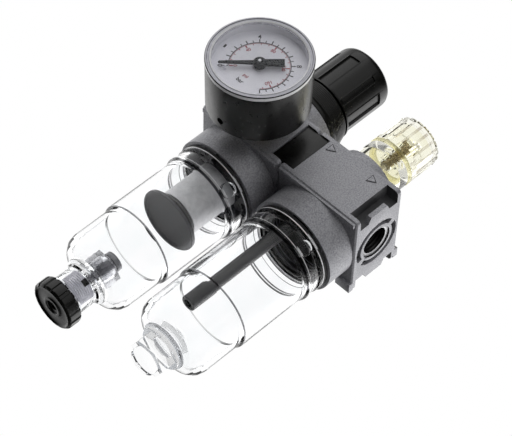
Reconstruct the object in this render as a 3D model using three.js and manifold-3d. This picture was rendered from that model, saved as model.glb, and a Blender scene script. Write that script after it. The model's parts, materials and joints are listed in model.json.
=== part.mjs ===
// A two-module air preparation unit: a filter-regulator with a pressure gauge, coupled to a lubricator.
// Millimetres, +Z up. Air flows along +X and the gauge looks along -Y.
// The origin is in the middle of the rear coupling clamp's outer face, level with the ports.
import * as THREE from "three";
import { mergeVertices } from "three/addons/utils/BufferGeometryUtils.js";
import Module from "manifold-3d";

const wasm = await Module();
wasm.setup();

// ---- driving dimensions ----
const GAP = 0.3; // clearance between pieces that touch
const MODULE = 40; // width and depth of one module
const AXIS_Y = -MODULE / 2; // the ports and both bowls lie on this plane
const FRONT_Y = -MODULE; // front face of both bodies
const REGULATOR_X = -MODULE / 2;
const LUBRICATOR_X = MODULE / 2;
const BLOCK_TOP = 12;
const BLOCK_BOTTOM = -12;
const FOOT = 1.2; // the rear corner feet stand this far above and below the block
const NECK_R = 19.3;
const NECK_BOTTOM = -23.7;
const SOCKET_R = 17;
const SOCKET_TOP = -14;
const LUG_GROOVE_R = 18.2;
const LUG_COUNT = 3;
const LUG_ANGLE = 30;

const PORT_R = 5.7; // G1/4 thread, minor radius
const PORT_MOUTH_R = 6.7;
const PORT_DEPTH = 11;
const SEAL_GROOVE_IN = 8.4;
const SEAL_GROOVE_OUT = 10.6;
const SEAL_GROOVE_DEPTH = 1.4;
const SEAL_LAND_ANGLE = 16; // two lands interrupt the groove on an open port

const ARROW_R = 1.8; // from an arrow's middle to its tip
const ARROW_Z = 7.4;
const ARROW_OFFSETS = [-11.5, 9]; // along the flow, from the module's axis

const CLAMP_HALF_W = 5.5; // each module gives half of the clamp's pocket
const CLAMP_HALF_H = 9.8;
const CLAMP_DEPTH = 5.3;
const RAIL_W = 1.9;
const RAIL_H = 2.8;
const RAIL_ROOT = 5.6; // half height at the pocket's floor
const RAIL_TIP = 4.2;

const COLLAR_R = 18; // under the bonnet
const COLLAR_TOP = 20.3;
const BONNET_BOTTOM = COLLAR_TOP + GAP;
const BONNET_R = 18;
const BONNET_SHOULDER = 32.1;
const BONNET_NECK_R = 11;
const BONNET_TOP = 50.9;
const KNOB_R = 13.2;
const KNOB_SKIRT_R = 14.2;
const KNOB_BOTTOM = 32.5;
const KNOB_TOP = 58.2;
const SCREW_R = 2.4;
const SEAT_Z = -1;
const DIAPHRAGM_Z = 19.1;

const BOWL_R = 17.1;
const BOWL_LOW_R = 16.3;
const COLLAR_BOWL_R = 18;
const BOWL_STEP_Z = -65;
const BOWL_BOTTOM = -87.5;
const BOWL_WALL = 2;
const BOWL_TOP = -15.9;
const BOWL_COLLAR_TOP = NECK_BOTTOM - 1.5;
const BUTTON_Z = -29.4;
const DRAIN_HOLE_R = 4.4;

const ELEMENT_R = 9.3;
const ELEMENT_TOP = -23.3;
const ELEMENT_BOTTOM = -44.3;
const BAFFLE_R = 13.1;
const BAFFLE_TOP = ELEMENT_BOTTOM - GAP;
const BAFFLE_FLOOR = -48.2;
const POST_R = 3.6; // the hollow post that the element and baffle hang on
const POST_BOTTOM = -46.2;
const INSERT_BOTTOM = -25.4;

const DRAIN_SLEEVE_R = 7.8;
const DRAIN_SLEEVE_BOTTOM = -98.6;
const DRAIN_KNOB_R = 9.9;
const DRAIN_KNOB_BOTTOM = -105.9;

const GAUGE_Z = -2.65;
const GAUGE_R = 20;
const GAUGE_BACK = 10.9; // distances in front of the body's face
const GAUGE_FRONT = 34.8;
const DIAL_FACE = 29.9;
const SECTOR_R = 7.75; // the sector swings about a pin below the arbor, against the pointer's pinion
const SECTOR_SWING = 33.75; // an eighth of the pointer's 270 degrees
const PINION_R = 0.95;

const DOME_Y = AXIS_Y - 5.2; // the sight dome sits towards the front
const DOME_R = 10.6;
const DOME_COLLAR_R = 13;
const DOME_COLLAR_TOP = 16;
const AMBER_Z = 28;
const OIL_KNOB_TOP = 44.4;
const OIL_SCREW_TOP = 38.6;
const SIPHON_X = LUBRICATOR_X - 3.9;
const SIPHON_Y = AXIS_Y - 6.5;

// ---- helpers ----
const UP = "up";
const RIGHT = "right";
const FORWARD = "forward";
const TURN = { up: [0, 0], right: [0, 90], forward: [90, 0] };

// Moves a geometry built on +Z so that its axis points UP, RIGHT (+X) or FORWARD (-Y), then to a point.
function place(geometry, { aim = UP, spin = 0, at = [0, 0, 0] } = {}) {
  geometry.rotateZ(THREE.MathUtils.degToRad(spin));
  geometry.rotateX(THREE.MathUtils.degToRad(TURN[aim][0]));
  geometry.rotateY(THREE.MathUtils.degToRad(TURN[aim][1]));
  return geometry.translate(...at);
}

// Turns a three.js geometry into a solid that can be joined and cut.
function solid(geometry) {
  const bare = geometry.clone();
  bare.deleteAttribute("normal");
  bare.deleteAttribute("uv");
  const merged = mergeVertices(bare, 1e-4);
  const corners = [...merged.index.array];
  const kept = [];
  for (let i = 0; i < corners.length; i += 3) {
    const [a, b, c] = corners.slice(i, i + 3);
    if (a !== b && b !== c && c !== a) kept.push(a, b, c);
  }
  const build = (order) =>
    new wasm.Manifold(
      new wasm.Mesh({
        numProp: 3,
        vertProperties: Float32Array.from(merged.attributes.position.array),
        triVerts: Uint32Array.from(order),
      }),
    );
  const made = build(kept);
  return made.volume() < 0 ? build([...kept].reverse()) : made;
}

const join = (...parts) => parts.reduce((whole, part) => whole.add(part));
const cut = (base, ...tools) => tools.reduce((rest, tool) => rest.subtract(tool), base);

// A solid of revolution from [radius, height] points. A profile that starts off the axis is a closed ring.
function turned(profile, segments, where) {
  const onAxis = profile[0][0] === 0 && profile.at(-1)[0] === 0;
  const points = (onAxis ? profile : [...profile, profile[0]]).map(([r, z]) => new THREE.Vector2(r, z));
  const geometry = new THREE.LatheGeometry(points, segments);
  geometry.rotateX(Math.PI / 2);
  return solid(place(geometry, where));
}

function rod(radius, low, high, segments, where) {
  return turned([[0, low], [radius, low], [radius, high], [0, high]], segments, where);
}

function tube(outer, inner, low, high, segments, where) {
  return turned([[inner, low], [outer, low], [outer, high], [inner, high]], segments, where);
}

function box(x, y, z) {
  const geometry = new THREE.BoxGeometry(x[1] - x[0], y[1] - y[0], z[1] - z[0]);
  return solid(geometry.translate((x[0] + x[1]) / 2, (y[0] + y[1]) / 2, (z[0] + z[1]) / 2));
}

function prism(corners, low, high, where) {
  const shape = new THREE.Shape(corners.map(([x, y]) => new THREE.Vector2(x, y)));
  const geometry = new THREE.ExtrudeGeometry(shape, { depth: high - low, bevelEnabled: false });
  geometry.translate(0, 0, low);
  return solid(place(geometry, where));
}

const polar = (radius, degrees) => {
  const angle = THREE.MathUtils.degToRad(degrees);
  return [radius * Math.cos(angle), radius * Math.sin(angle)];
};

function polygon(sides, radius, low, high, where) {
  const corners = Array.from({ length: sides }, (_, i) => polar(radius, (360 / sides) * i));
  return prism(corners, low, high, where);
}

// A block of a ring: between two radii, over an angle, between two heights.
function sector(inner, outer, middle, width, low, high, where) {
  const steps = Math.ceil(width / 12);
  const angles = Array.from({ length: steps + 1 }, (_, i) => middle - width / 2 + (width * i) / steps);
  const outside = angles.map((angle) => polar(outer, angle));
  const inside = angles.map((angle) => polar(inner, angle)).reverse();
  return prism([...outside, ...inside], low, high, where);
}

class Helix extends THREE.Curve {
  constructor(radius, low, high, turns) {
    super();
    Object.assign(this, { radius, low, high, turns });
  }
  getPoint(t, target = new THREE.Vector3()) {
    const angle = 2 * Math.PI * this.turns * t;
    const height = this.low + (this.high - this.low) * t;
    return target.set(this.radius * Math.cos(angle), this.radius * Math.sin(angle), height);
  }
}

class FlatArc extends THREE.Curve {
  constructor(radius, from, to, height) {
    super();
    Object.assign(this, { radius, from, to, height });
  }
  getPoint(t, target = new THREE.Vector3()) {
    const [x, y] = polar(this.radius, this.from + (this.to - this.from) * t);
    return target.set(x, y, this.height);
  }
}

function swept(path, corners, steps, where) {
  const shape = new THREE.Shape(corners.map(([x, y]) => new THREE.Vector2(x, y)));
  const geometry = new THREE.ExtrudeGeometry(shape, { steps, extrudePath: path, bevelEnabled: false });
  return solid(place(geometry, where));
}

function spring(coilRadius, wireRadius, low, high, turns, where) {
  const wire = Array.from({ length: 4 }, (_, i) => polar(wireRadius, 90 * i));
  return swept(new Helix(coilRadius, low, high, turns), wire, turns * 9, where);
}

function torus(radius, thickness, segments, where) {
  const ring = Array.from({ length: 6 }, (_, i) => polar(thickness, 60 * i));
  return turned(ring.map(([r, z]) => [radius + r, z]), segments, where);
}

const materials = {
  casting: { color: 0x85868d, roughness: 0.55, metalness: 0.35 },
  black_plastic: { color: 0x151515, roughness: 0.45, metalness: 0 },
  grey_plastic: { color: 0x4c4c4e, roughness: 0.6, metalness: 0 },
  clear_bowl: { color: 0xeef2f4, roughness: 0.08, metalness: 0 },
  clear_amber: { color: 0xe8e2a8, roughness: 0.1, metalness: 0 },
  amber: { color: 0xc9b945, roughness: 0.35, metalness: 0 },
  rubber: { color: 0x101010, roughness: 0.8, metalness: 0 },
  steel: { color: 0xb4b6b8, roughness: 0.35, metalness: 0.9 },
  brass: { color: 0xb89a56, roughness: 0.35, metalness: 0.9 },
  sinter: { color: 0x9a9b9d, roughness: 0.75, metalness: 0.2 },
  dial: { color: 0xd9d9df, roughness: 0.5, metalness: 0 },
};
const finish = {};
for (const [slot, look] of Object.entries(materials)) {
  finish[slot] = new THREE.MeshStandardMaterial({ ...look, name: slot });
}

const unit = new THREE.Group();
unit.name = "air_preparation_unit";

function piece(name, made, slot) {
  const { vertProperties, triVerts } = made.getMesh();
  const geometry = new THREE.BufferGeometry();
  geometry.setAttribute("position", new THREE.BufferAttribute(vertProperties, 3));
  geometry.setIndex(new THREE.BufferAttribute(triVerts, 1));
  geometry.computeVertexNormals();
  const mesh = new THREE.Mesh(geometry, finish[slot]);
  mesh.name = name;
  unit.add(mesh);
}

// ---- the two die-cast bodies ----
// Where the ends of a module lie: the outer end is an open port, the inner end meets the other module.
function ends(moduleX) {
  const side = Math.sign(moduleX);
  return { side, inner: side * (GAP / 2), outer: side * MODULE };
}

function roundedBlock(moduleX) {
  const { inner, outer } = ends(moduleX);
  const [left, right] = [Math.min(inner, outer), Math.max(inner, outer)];
  const corner = 1.4;
  const edge = 0.6;
  const shape = new THREE.Shape();
  const [x0, x1, y0, y1] = [left + edge, right - edge, FRONT_Y + edge, -edge];
  shape.moveTo(x0 + corner, y0);
  shape.lineTo(x1 - corner, y0);
  shape.quadraticCurveTo(x1, y0, x1, y0 + corner);
  shape.lineTo(x1, y1 - corner);
  shape.quadraticCurveTo(x1, y1, x1 - corner, y1);
  shape.lineTo(x0 + corner, y1);
  shape.quadraticCurveTo(x0, y1, x0, y1 - corner);
  shape.lineTo(x0, y0 + corner);
  shape.quadraticCurveTo(x0, y0, x0 + corner, y0);
  const geometry = new THREE.ExtrudeGeometry(shape, {
    depth: BLOCK_TOP - BLOCK_BOTTOM - 2 * edge,
    curveSegments: 3,
    bevelThickness: edge,
    bevelSize: edge,
    bevelSegments: 1,
  });
  return solid(geometry.translate(0, 0, BLOCK_BOTTOM + edge));
}

// Half of a clamp pocket at one end of a module, front or rear, with the rail that the clamp hooks over.
function clampPocket(body, endX, inward, front) {
  const floor = front ? FRONT_Y + CLAMP_DEPTH : -CLAMP_DEPTH;
  const mouth = front ? FRONT_Y - 1 : 1;
  const deepX = endX + inward * CLAMP_HALF_W;
  const pastX = endX - inward * 1;
  const span = (a, b) => [Math.min(a, b), Math.max(a, b)];
  const pocket = box(span(deepX, pastX), span(floor, mouth), [-CLAMP_HALF_H, CLAMP_HALF_H]);
  const tipY = front ? floor - RAIL_H : floor + RAIL_H;
  const rootY = front ? floor + 0.5 : floor - 0.5;
  const profile = [[rootY, -RAIL_ROOT], [floor, -RAIL_ROOT], [tipY, -RAIL_TIP]];
  const mirrored = profile.map(([y, z]) => [y, -z]).reverse();
  // The prism is drawn as [-z, y] because an axis aimed right carries its own x to -z.
  const outline = [...profile, ...mirrored].map(([y, z]) => [-z, y]);
  const [low, high] = span(endX, endX + inward * RAIL_W);
  const rail = prism(outline, low, high, { aim: RIGHT });
  return cut(body, pocket).add(rail);
}

function portCuts(endX, inward, open) {
  const where = { aim: RIGHT, at: [endX, AXIS_Y, 0] };
  const along = (depth) => (inward > 0 ? depth : -depth);
  const order = (a, b) => [Math.min(a, b), Math.max(a, b)];
  const bore = rod(PORT_R, ...order(along(-1), along(PORT_DEPTH)), 24, where);
  const mouth = turned(
    [[0, along(-0.2)], [PORT_MOUTH_R + 0.2, along(-0.2)], [PORT_R - 0.3, along(1.3)], [0, along(1.3)]],
    24,
    where,
  );
  const grooveSpan = order(along(-1), along(SEAL_GROOVE_DEPTH));
  let groove = tube(SEAL_GROOVE_OUT, SEAL_GROOVE_IN, ...grooveSpan, 24, where);
  if (open) {
    for (const middle of [35, 215]) {
      const [low, high] = order(along(-1.5), along(SEAL_GROOVE_DEPTH + 0.5));
      groove = cut(groove, sector(8, 11, middle, SEAL_LAND_ANGLE, low, high, where));
    }
  }
  return [bore, mouth, groove];
}

function castBody(moduleX) {
  const { side, inner, outer } = ends(moduleX);
  const centre = { at: [moduleX, AXIS_Y, 0] };
  let body = roundedBlock(moduleX);
  body = body.add(rod(NECK_R, NECK_BOTTOM, BLOCK_BOTTOM + 2, 36, centre));
  const lipX = [Math.min(inner, outer) + 1, Math.max(inner, outer) - 1];
  body = body.add(box(lipX, [FRONT_Y + 0.5, FRONT_Y + 2.5], [BLOCK_BOTTOM - 0.8, BLOCK_BOTTOM + 1]));
  for (const [end, inward] of [[inner, side], [outer, -side]]) {
    const footX = [Math.min(end, end + inward * 7), Math.max(end, end + inward * 7)];
    body = body.add(box(footX, [-5, -0.6], [BLOCK_BOTTOM - FOOT, BLOCK_BOTTOM + 1]));
    body = body.add(box(footX, [-5, -0.6], [BLOCK_TOP - 1, BLOCK_TOP + FOOT]));
    body = clampPocket(body, end, inward, true);
    body = clampPocket(body, end, inward, false);
    body = cut(body, ...portCuts(end, inward, end === outer));
  }
  // Raised arrows on the front face point along the flow, each inside a narrow groove.
  for (const offset of ARROW_OFFSETS) {
    const triangle = (radius) => [0, 120, 240].map((angle) => polar(radius, angle));
    const where = { aim: FORWARD, at: [moduleX + offset, FRONT_Y, ARROW_Z] };
    body = cut(body, prism(triangle(ARROW_R + 0.7), -0.35, 1, where));
    body = body.add(prism(triangle(ARROW_R), -0.6, 0.3, where));
  }
  // The bowl's socket: a smooth bore, the groove the lugs lock in, and the slots they enter by.
  const below = NECK_BOTTOM - 1;
  body = cut(body, rod(SOCKET_R, below, SOCKET_TOP, 28, centre));
  body = cut(body, tube(LUG_GROOVE_R, 10, -19.6, -15.6, 28, centre));
  for (let i = 0; i < LUG_COUNT; i += 1) {
    const middle = 45 + (360 / LUG_COUNT) * i;
    body = cut(body, sector(10, LUG_GROOVE_R, middle, LUG_ANGLE + 6, below, -18, centre));
  }
  return body;
}

// ---- filter-regulator module ----
const regulator = { at: [REGULATOR_X, AXIS_Y, 0] };

function regulatorBody() {
  const seatPassageR = 3.2;
  const outletPassageZ = 4.6;
  const gaugePort = { aim: FORWARD, at: [REGULATOR_X, FRONT_Y, GAUGE_Z] };
  // A slanted drilling carries outlet pressure to the gauge.
  const sense = rod(0.9, -4, 6, 8, { at: [0, 0, 0] });
  const slanted = sense.rotate([-63, 0, 0]).translate([REGULATOR_X, AXIS_Y - 8, 2]);
  return cut(
    castBody(REGULATOR_X).add(rod(COLLAR_R, BLOCK_TOP - 1, COLLAR_TOP, 36, regulator)),
    rod(2.8, SOCKET_TOP - 1, 0, 12, { at: [REGULATOR_X - 11.5, AXIS_Y, 0] }),
    rod(6.5, SOCKET_TOP - 1, SEAT_Z, 16, regulator),
    rod(seatPassageR, SEAT_Z - 1, 2, 12, regulator),
    rod(7, 1.5, 8.5, 16, regulator),
    rod(2.6, -15, -3, 12, { aim: RIGHT, at: [-5, AXIS_Y, outletPassageZ] }),
    rod(1.5, 8, 15, 10, regulator),
    rod(0.8, 8, 15, 8, { at: [REGULATOR_X + 5, AXIS_Y, 0] }),
    rod(13.5, 12.5, 21, 24, regulator),
    rod(16, 18.8, 21, 32, regulator),
    rod(4.9, -9, 1, 18, gaugePort),
    slanted,
  );
}
piece("regulator_body", regulatorBody(), "casting");

function bonnet() {
  const outside = turned(
    [
      [0, BONNET_BOTTOM],
      [BONNET_R, BONNET_BOTTOM],
      [BONNET_R - 0.2, 22.2],
      [14.1, BONNET_SHOULDER - 0.4],
      [13.6, BONNET_SHOULDER],
      [BONNET_NECK_R, BONNET_SHOULDER],
      [BONNET_NECK_R, BONNET_TOP],
      [0, BONNET_TOP],
    ],
    36,
    regulator,
  );
  const slots = [0, 180].map((angle) => sector(6, 10.1, angle, 22, 24, 46.9, regulator));
  return cut(
    outside,
    rod(13.2, BONNET_BOTTOM - 1, 23, 28, regulator),
    rod(9.2, 22, 46.9, 24, regulator),
    rod(SCREW_R + 0.3, 46, BONNET_TOP + 1, 14, regulator),
    ...slots,
  );
}
piece("bonnet", bonnet(), "black_plastic");

// Four wide grip recesses and four narrow grooves run up the knob's side.
function adjustingKnob() {
  const outside = turned(
    [
      [0, KNOB_BOTTOM],
      [KNOB_SKIRT_R, KNOB_BOTTOM],
      [KNOB_SKIRT_R - 0.1, KNOB_BOTTOM + 1],
      [KNOB_R + 0.1, KNOB_BOTTOM + 3.4],
      [KNOB_R, KNOB_TOP - 3],
      [KNOB_R - 0.7, KNOB_TOP - 1.2],
      [KNOB_R - 2.4, KNOB_TOP - 0.2],
      [0, KNOB_TOP],
    ],
    36,
    regulator,
  );
  let knob = cut(
    outside,
    rod(BONNET_NECK_R + 0.4, KNOB_BOTTOM - 1, 53.9, 24, regulator),
    polygon(6, 4.3, 50, 56.2, regulator),
  );
  const socket = cut(rod(6, 51.4, 54.5, 18, regulator), polygon(6, 4.3, 50, 56.2, regulator));
  knob = knob.add(socket);
  for (let i = 0; i < 4; i += 1) {
    const wide = -95 + 90 * i;
    knob = cut(knob, sector(KNOB_R - 0.7, KNOB_R + 2, wide, 24, KNOB_BOTTOM + 1, 51.8, regulator));
    knob = cut(knob, sector(KNOB_R - 0.5, KNOB_R + 2, wide + 49, 10, KNOB_BOTTOM + 2, 51.8, regulator));
  }
  return knob;
}
piece("adjusting_knob", adjustingKnob(), "black_plastic");

const screwCollar = 44.6;
piece(
  "adjusting_screw",
  join(
    rod(SCREW_R, 31.5, 51.5, 14, regulator),
    rod(5, screwCollar, 46.6, 18, regulator),
    polygon(6, 4, 51.2, 55.8, regulator),
  ),
  "steel",
);

const NUT_LOW = 39.6;
const NUT_HIGH = 44.1;
function springNut() {
  const plain = rod(8.8, NUT_LOW, NUT_HIGH - 1.5, 20, regulator);
  const hub = rod(5, NUT_LOW, NUT_HIGH, 18, regulator);
  const tabs = [0, 180].map((angle) => sector(6, 9.8, angle, 16, NUT_LOW, NUT_HIGH - 1.5, regulator));
  return cut(join(plain, hub, ...tabs), rod(SCREW_R + 0.1, NUT_LOW - 1, NUT_HIGH + 1, 14, regulator));
}
piece("spring_nut", springNut(), "brass");

const PLATE_TOP = 21.8;
piece("control_spring", spring(6.2, 0.9, PLATE_TOP + 1.3, NUT_LOW - 1.3, 5, regulator), "steel");
piece(
  "diaphragm",
  turned(
    [
      [2.6, DIAPHRAGM_Z],
      [9.6, DIAPHRAGM_Z],
      [11.2, DIAPHRAGM_Z - 1.2],
      [12.8, DIAPHRAGM_Z],
      [15.7, DIAPHRAGM_Z],
      [15.7, DIAPHRAGM_Z + 0.9],
      [2.6, DIAPHRAGM_Z + 0.9],
    ],
    24,
    regulator,
  ),
  "rubber",
);
piece(
  "diaphragm_plate",
  cut(
    turned(
      [
        [0, 17.5],
        [2.3, 17.5],
        [2.3, DIAPHRAGM_Z + 1.2],
        [9, DIAPHRAGM_Z + 1.2],
        [9, PLATE_TOP],
        [4.6, PLATE_TOP],
        [4.6, PLATE_TOP + 2],
        [0, PLATE_TOP + 2],
      ],
      24,
      regulator,
    ),
    rod(0.8, 17, 25, 8, regulator),
  ),
  "steel",
);
piece(
  "valve_poppet",
  turned(
    [
      [0, -8],
      [2, -8],
      [2, -3.6],
      [5, -3.6],
      [5, SEAT_Z - GAP],
      [1.2, SEAT_Z - GAP],
      [1.2, 17.2],
      [0, 17.2],
    ],
    18,
    regulator,
  ),
  "brass",
);
piece("valve_spring", spring(3.1, 0.4, -13.5, -4.3, 5, regulator), "steel");

// The guide plugs the valve chamber and carries the hollow post that the element and baffle hang on.
function valveGuide() {
  const plug = turned(
    [
      [0, -17],
      [9, -17],
      [9, SOCKET_TOP - GAP],
      [6.2, SOCKET_TOP - GAP],
      [6.2, -9],
      [0, -9],
    ],
    18,
    regulator,
  );
  const across = [REGULATOR_X - 6, REGULATOR_X + 6];
  const windows = [-40, -31].map((z) => box(across, [AXIS_Y - 1, AXIS_Y + 1], [z, z + 6]));
  return cut(
    plug.add(rod(POST_R, POST_BOTTOM, -16, 14, regulator)),
    rod(4.2, -14.1, -8, 14, regulator),
    rod(1.8, -44, -13, 10, regulator),
    ...windows,
  );
}
piece("valve_guide", valveGuide(), "black_plastic");

function swirlDeflector() {
  let ring = turned(
    [
      [4, ELEMENT_TOP + GAP],
      [ELEMENT_R, ELEMENT_TOP + GAP],
      [ELEMENT_R, -20.4],
      [14.6, -19.6],
      [14.6, -17.3],
      [4, -17.3],
    ],
    24,
    regulator,
  );
  for (let i = 0; i < 10; i += 1) {
    ring = cut(ring, sector(11, 15, 36 * i, 12, -24, -16, regulator));
  }
  return ring;
}
piece("swirl_deflector", swirlDeflector(), "grey_plastic");
piece("filter_element", tube(ELEMENT_R, 5.4, ELEMENT_BOTTOM, ELEMENT_TOP, 28, regulator), "sinter");

// The baffle is a shallow cone above a flat floor, with a thin lip round its rim.
function baffle() {
  const disc = turned(
    [
      [0, BAFFLE_FLOOR],
      [BAFFLE_R - 1.8, BAFFLE_FLOOR],
      [BAFFLE_R - 0.9, BAFFLE_FLOOR - 0.8],
      [BAFFLE_R, BAFFLE_FLOOR - 0.8],
      [BAFFLE_R, BAFFLE_FLOOR + 0.6],
      [ELEMENT_R + 0.1, BAFFLE_TOP],
      [0, BAFFLE_TOP],
    ],
    28,
    regulator,
  );
  return cut(disc, rod(POST_R + GAP, POST_BOTTOM - GAP, -44, 14, regulator));
}
piece("baffle", baffle(), "grey_plastic");

// ---- bowls ----
// Both modules use the same clear bowl. It hangs by three lugs and turns 45 degrees to come off.
function bowl(moduleX, buttonAngle) {
  const where = { at: [moduleX, AXIS_Y, 0] };
  const inner = BOWL_R - BOWL_WALL;
  const innerLow = BOWL_LOW_R - BOWL_WALL;
  const floor = BOWL_BOTTOM + BOWL_WALL;
  let made = turned(
    [
      [SOCKET_R - GAP, BOWL_TOP],
      [SOCKET_R - GAP, BOWL_COLLAR_TOP],
      [COLLAR_BOWL_R, BOWL_COLLAR_TOP],
      [COLLAR_BOWL_R, -33],
      [BOWL_R, -34],
      [BOWL_R, BOWL_STEP_Z],
      [BOWL_LOW_R, BOWL_STEP_Z - 1.2],
      [BOWL_LOW_R - 0.1, -82],
      [BOWL_LOW_R - 1.9, -85.8],
      [BOWL_LOW_R - 5.6, BOWL_BOTTOM],
      [DRAIN_HOLE_R, BOWL_BOTTOM],
      [DRAIN_HOLE_R, floor],
      [BOWL_LOW_R - 6, floor],
      [BOWL_LOW_R - 3.4, -84],
      [innerLow, -81.5],
      [innerLow, BOWL_STEP_Z - 1],
      [inner, BOWL_STEP_Z],
      [inner, BOWL_TOP],
    ],
    36,
    where,
  );
  for (let i = 0; i < LUG_COUNT; i += 1) {
    const middle = (360 / LUG_COUNT) * i;
    made = made.add(sector(16, COLLAR_BOWL_R - 0.1, middle, LUG_ANGLE, -19.3, BOWL_TOP, where));
  }
  made = made.add(sector(17, COLLAR_BOWL_R + 0.5, buttonAngle, 21, -27.6, BOWL_COLLAR_TOP, where));
  const button = rod(3, 0, COLLAR_BOWL_R + 0.6, 12, { aim: RIGHT });
  const pushed = button.rotate([0, 0, buttonAngle]).translate([moduleX, AXIS_Y, BUTTON_Z]);
  return made.add(cut(pushed, rod(inner + 0.5, -40, -20, 24, where)));
}
piece("filter_bowl", bowl(REGULATOR_X, -46), "clear_bowl");
const bowlSeal = (moduleX) => torus(17.3, 0.5, 28, { at: [moduleX, AXIS_Y, NECK_BOTTOM - 0.75] });
piece("filter_bowl_oring", bowlSeal(REGULATOR_X), "rubber");

// ---- manual drain ----
piece(
  "drain_nut",
  cut(polygon(6, 7.4, BOWL_BOTTOM + BOWL_WALL + GAP, -79.4, regulator), rod(4.3, -90, -70, 14, regulator)),
  "clear_bowl",
);
piece("drain_washer", tube(9.8, 4.3, -89.4, BOWL_BOTTOM - GAP, 24, regulator), "clear_bowl");
function drainStem() {
  const shell = turned(
    [
      [2.6, DRAIN_SLEEVE_BOTTOM],
      [DRAIN_SLEEVE_R, DRAIN_SLEEVE_BOTTOM],
      [DRAIN_SLEEVE_R, -89.7],
      [4, -89.7],
      [4, -78],
      [2.6, -78],
    ],
    24,
    regulator,
  );
  const pocket = rod(6.2, -99, -91.6, 20, regulator);
  const windows = box([REGULATOR_X - 9, REGULATOR_X + 9], [AXIS_Y - 1.4, AXIS_Y + 1.4], [-95.6, -92.6]);
  return cut(shell, pocket, windows);
}
piece("drain_stem", drainStem(), "clear_bowl");
function drainKnob() {
  let knob = turned(
    [
      [0, DRAIN_KNOB_BOTTOM],
      [DRAIN_KNOB_R - 1.1, DRAIN_KNOB_BOTTOM],
      [DRAIN_KNOB_R, DRAIN_KNOB_BOTTOM + 0.9],
      [DRAIN_KNOB_R, -100.6],
      [9.2, -99.7],
      [6, -99.7],
      [6, -92.2],
      [0, -92.2],
    ],
    28,
    regulator,
  );
  for (let i = 0; i < 16; i += 1) {
    knob = cut(knob, sector(DRAIN_KNOB_R - 0.4, 11, 22.5 * i, 6, -107, -99, regulator));
  }
  return cut(knob, rod(2.5, -96, -91, 12, regulator), rod(1.8, -107, -95, 12, regulator));
}
piece("drain_knob", drainKnob(), "black_plastic");
piece(
  "drain_valve",
  cut(
    join(rod(1.5, -94.6, -77, 12, regulator), rod(4, -77.7, -75.6, 14, regulator)),
    rod(0.7, -95, -79, 8, regulator),
  ),
  "black_plastic",
);

// ---- pressure gauge ----
const gauge = { aim: FORWARD, at: [REGULATOR_X, FRONT_Y, GAUGE_Z] };
const besideGaugeAxis = (half) => [REGULATOR_X - half, REGULATOR_X + half];
piece("gauge_seal", tube(7, 5, GAP, 1.5, 20, gauge), "rubber");
piece(
  "gauge_stem",
  cut(
    join(
      rod(4.6, -8.4, 2, 18, gauge),
      polygon(6, 6.6, 1.8, 8.6, gauge),
      rod(4.4, 8, 16, 18, gauge),
      box(besideGaugeAxis(3), [FRONT_Y - 20.5, FRONT_Y - 15.5], [GAUGE_Z - 13.6, GAUGE_Z + 2.5]),
    ),
    rod(1, -9, 14, 8, gauge),
  ),
  "brass",
);
function gaugeCase() {
  const rim = 32.7;
  const cup = turned(
    [
      [4.7, GAUGE_BACK],
      [GAUGE_R - 0.7, GAUGE_BACK],
      [GAUGE_R - 0.3, GAUGE_BACK + 0.4],
      [GAUGE_R, rim],
      [18, rim],
      [18, GAUGE_BACK + 1.8],
      [4.7, GAUGE_BACK + 1.8],
    ],
    40,
    gauge,
  );
  const relief = rod(1.5, -22, -10, 10, { at: [REGULATOR_X, FRONT_Y - 15.3, GAUGE_Z] });
  return cut(cup, relief);
}
piece("gauge_case", gaugeCase(), "black_plastic");
const bourdonSection = [[-0.5, -1.8], [0.5, -1.8], [0.5, 1.8], [-0.5, 1.8]];
piece("bourdon_tube", swept(new FlatArc(12.6, -62, 215, 18), bourdonSection, 20, gauge), "brass");
piece(
  "movement_plate",
  cut(
    join(
      rod(4, 21.4, 22.6, 14, gauge),
      box(besideGaugeAxis(2.5), [FRONT_Y - 22.6, FRONT_Y - 21.4], [GAUGE_Z - 12, GAUGE_Z]),
    ),
    rod(1.1, 20, 24, 10, gauge),
    rod(0.8, 20, 24, 8, { aim: FORWARD, at: [REGULATOR_X, FRONT_Y, GAUGE_Z - 9] }),
  ),
  "brass",
);
const sectorPivot = { aim: FORWARD, at: [REGULATOR_X, FRONT_Y, GAUGE_Z - 9] };
piece(
  "sector_gear",
  join(
    rod(0.6, 21, 24.6, 8, sectorPivot),
    sector(1, SECTOR_R, 90 - SECTOR_SWING / 2, 46, 23.4, 24.4, sectorPivot),
    rod(1.8, 23.4, 24.4, 10, sectorPivot),
  ),
  "brass",
);
piece("gauge_dial", tube(17.4, 1.2, DIAL_FACE - 0.6, DIAL_FACE, 36, gauge), "dial");
function pointer() {
  const zero = 225; // 0 bar, measured as on the dial's face
  const spinTo = { ...gauge, spin: zero };
  return join(
    rod(0.6, 22, 32, 10, gauge),
    rod(PINION_R, 23.2, 24.6, 10, gauge),
    rod(2.4, DIAL_FACE + 0.4, 32.6, 14, gauge),
    prism([[0, -0.9], [15, -0.45], [15, 0.45], [0, 0.9]], 31.3, 32, spinTo),
    prism([[-9, -1.5], [0, -1.3], [0, 1.3], [-9, 1.5]], 31.1, 32.1, spinTo),
  );
}
piece("gauge_pointer", pointer(), "black_plastic");
const [stopX, stopZ] = polar(12.4, 232);
const stopPin = { aim: FORWARD, at: [REGULATOR_X + stopX, FRONT_Y, GAUGE_Z + stopZ] };
piece("stop_pin", rod(0.45, DIAL_FACE + 0.2, 31.9, 8, stopPin), "dial");
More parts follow.
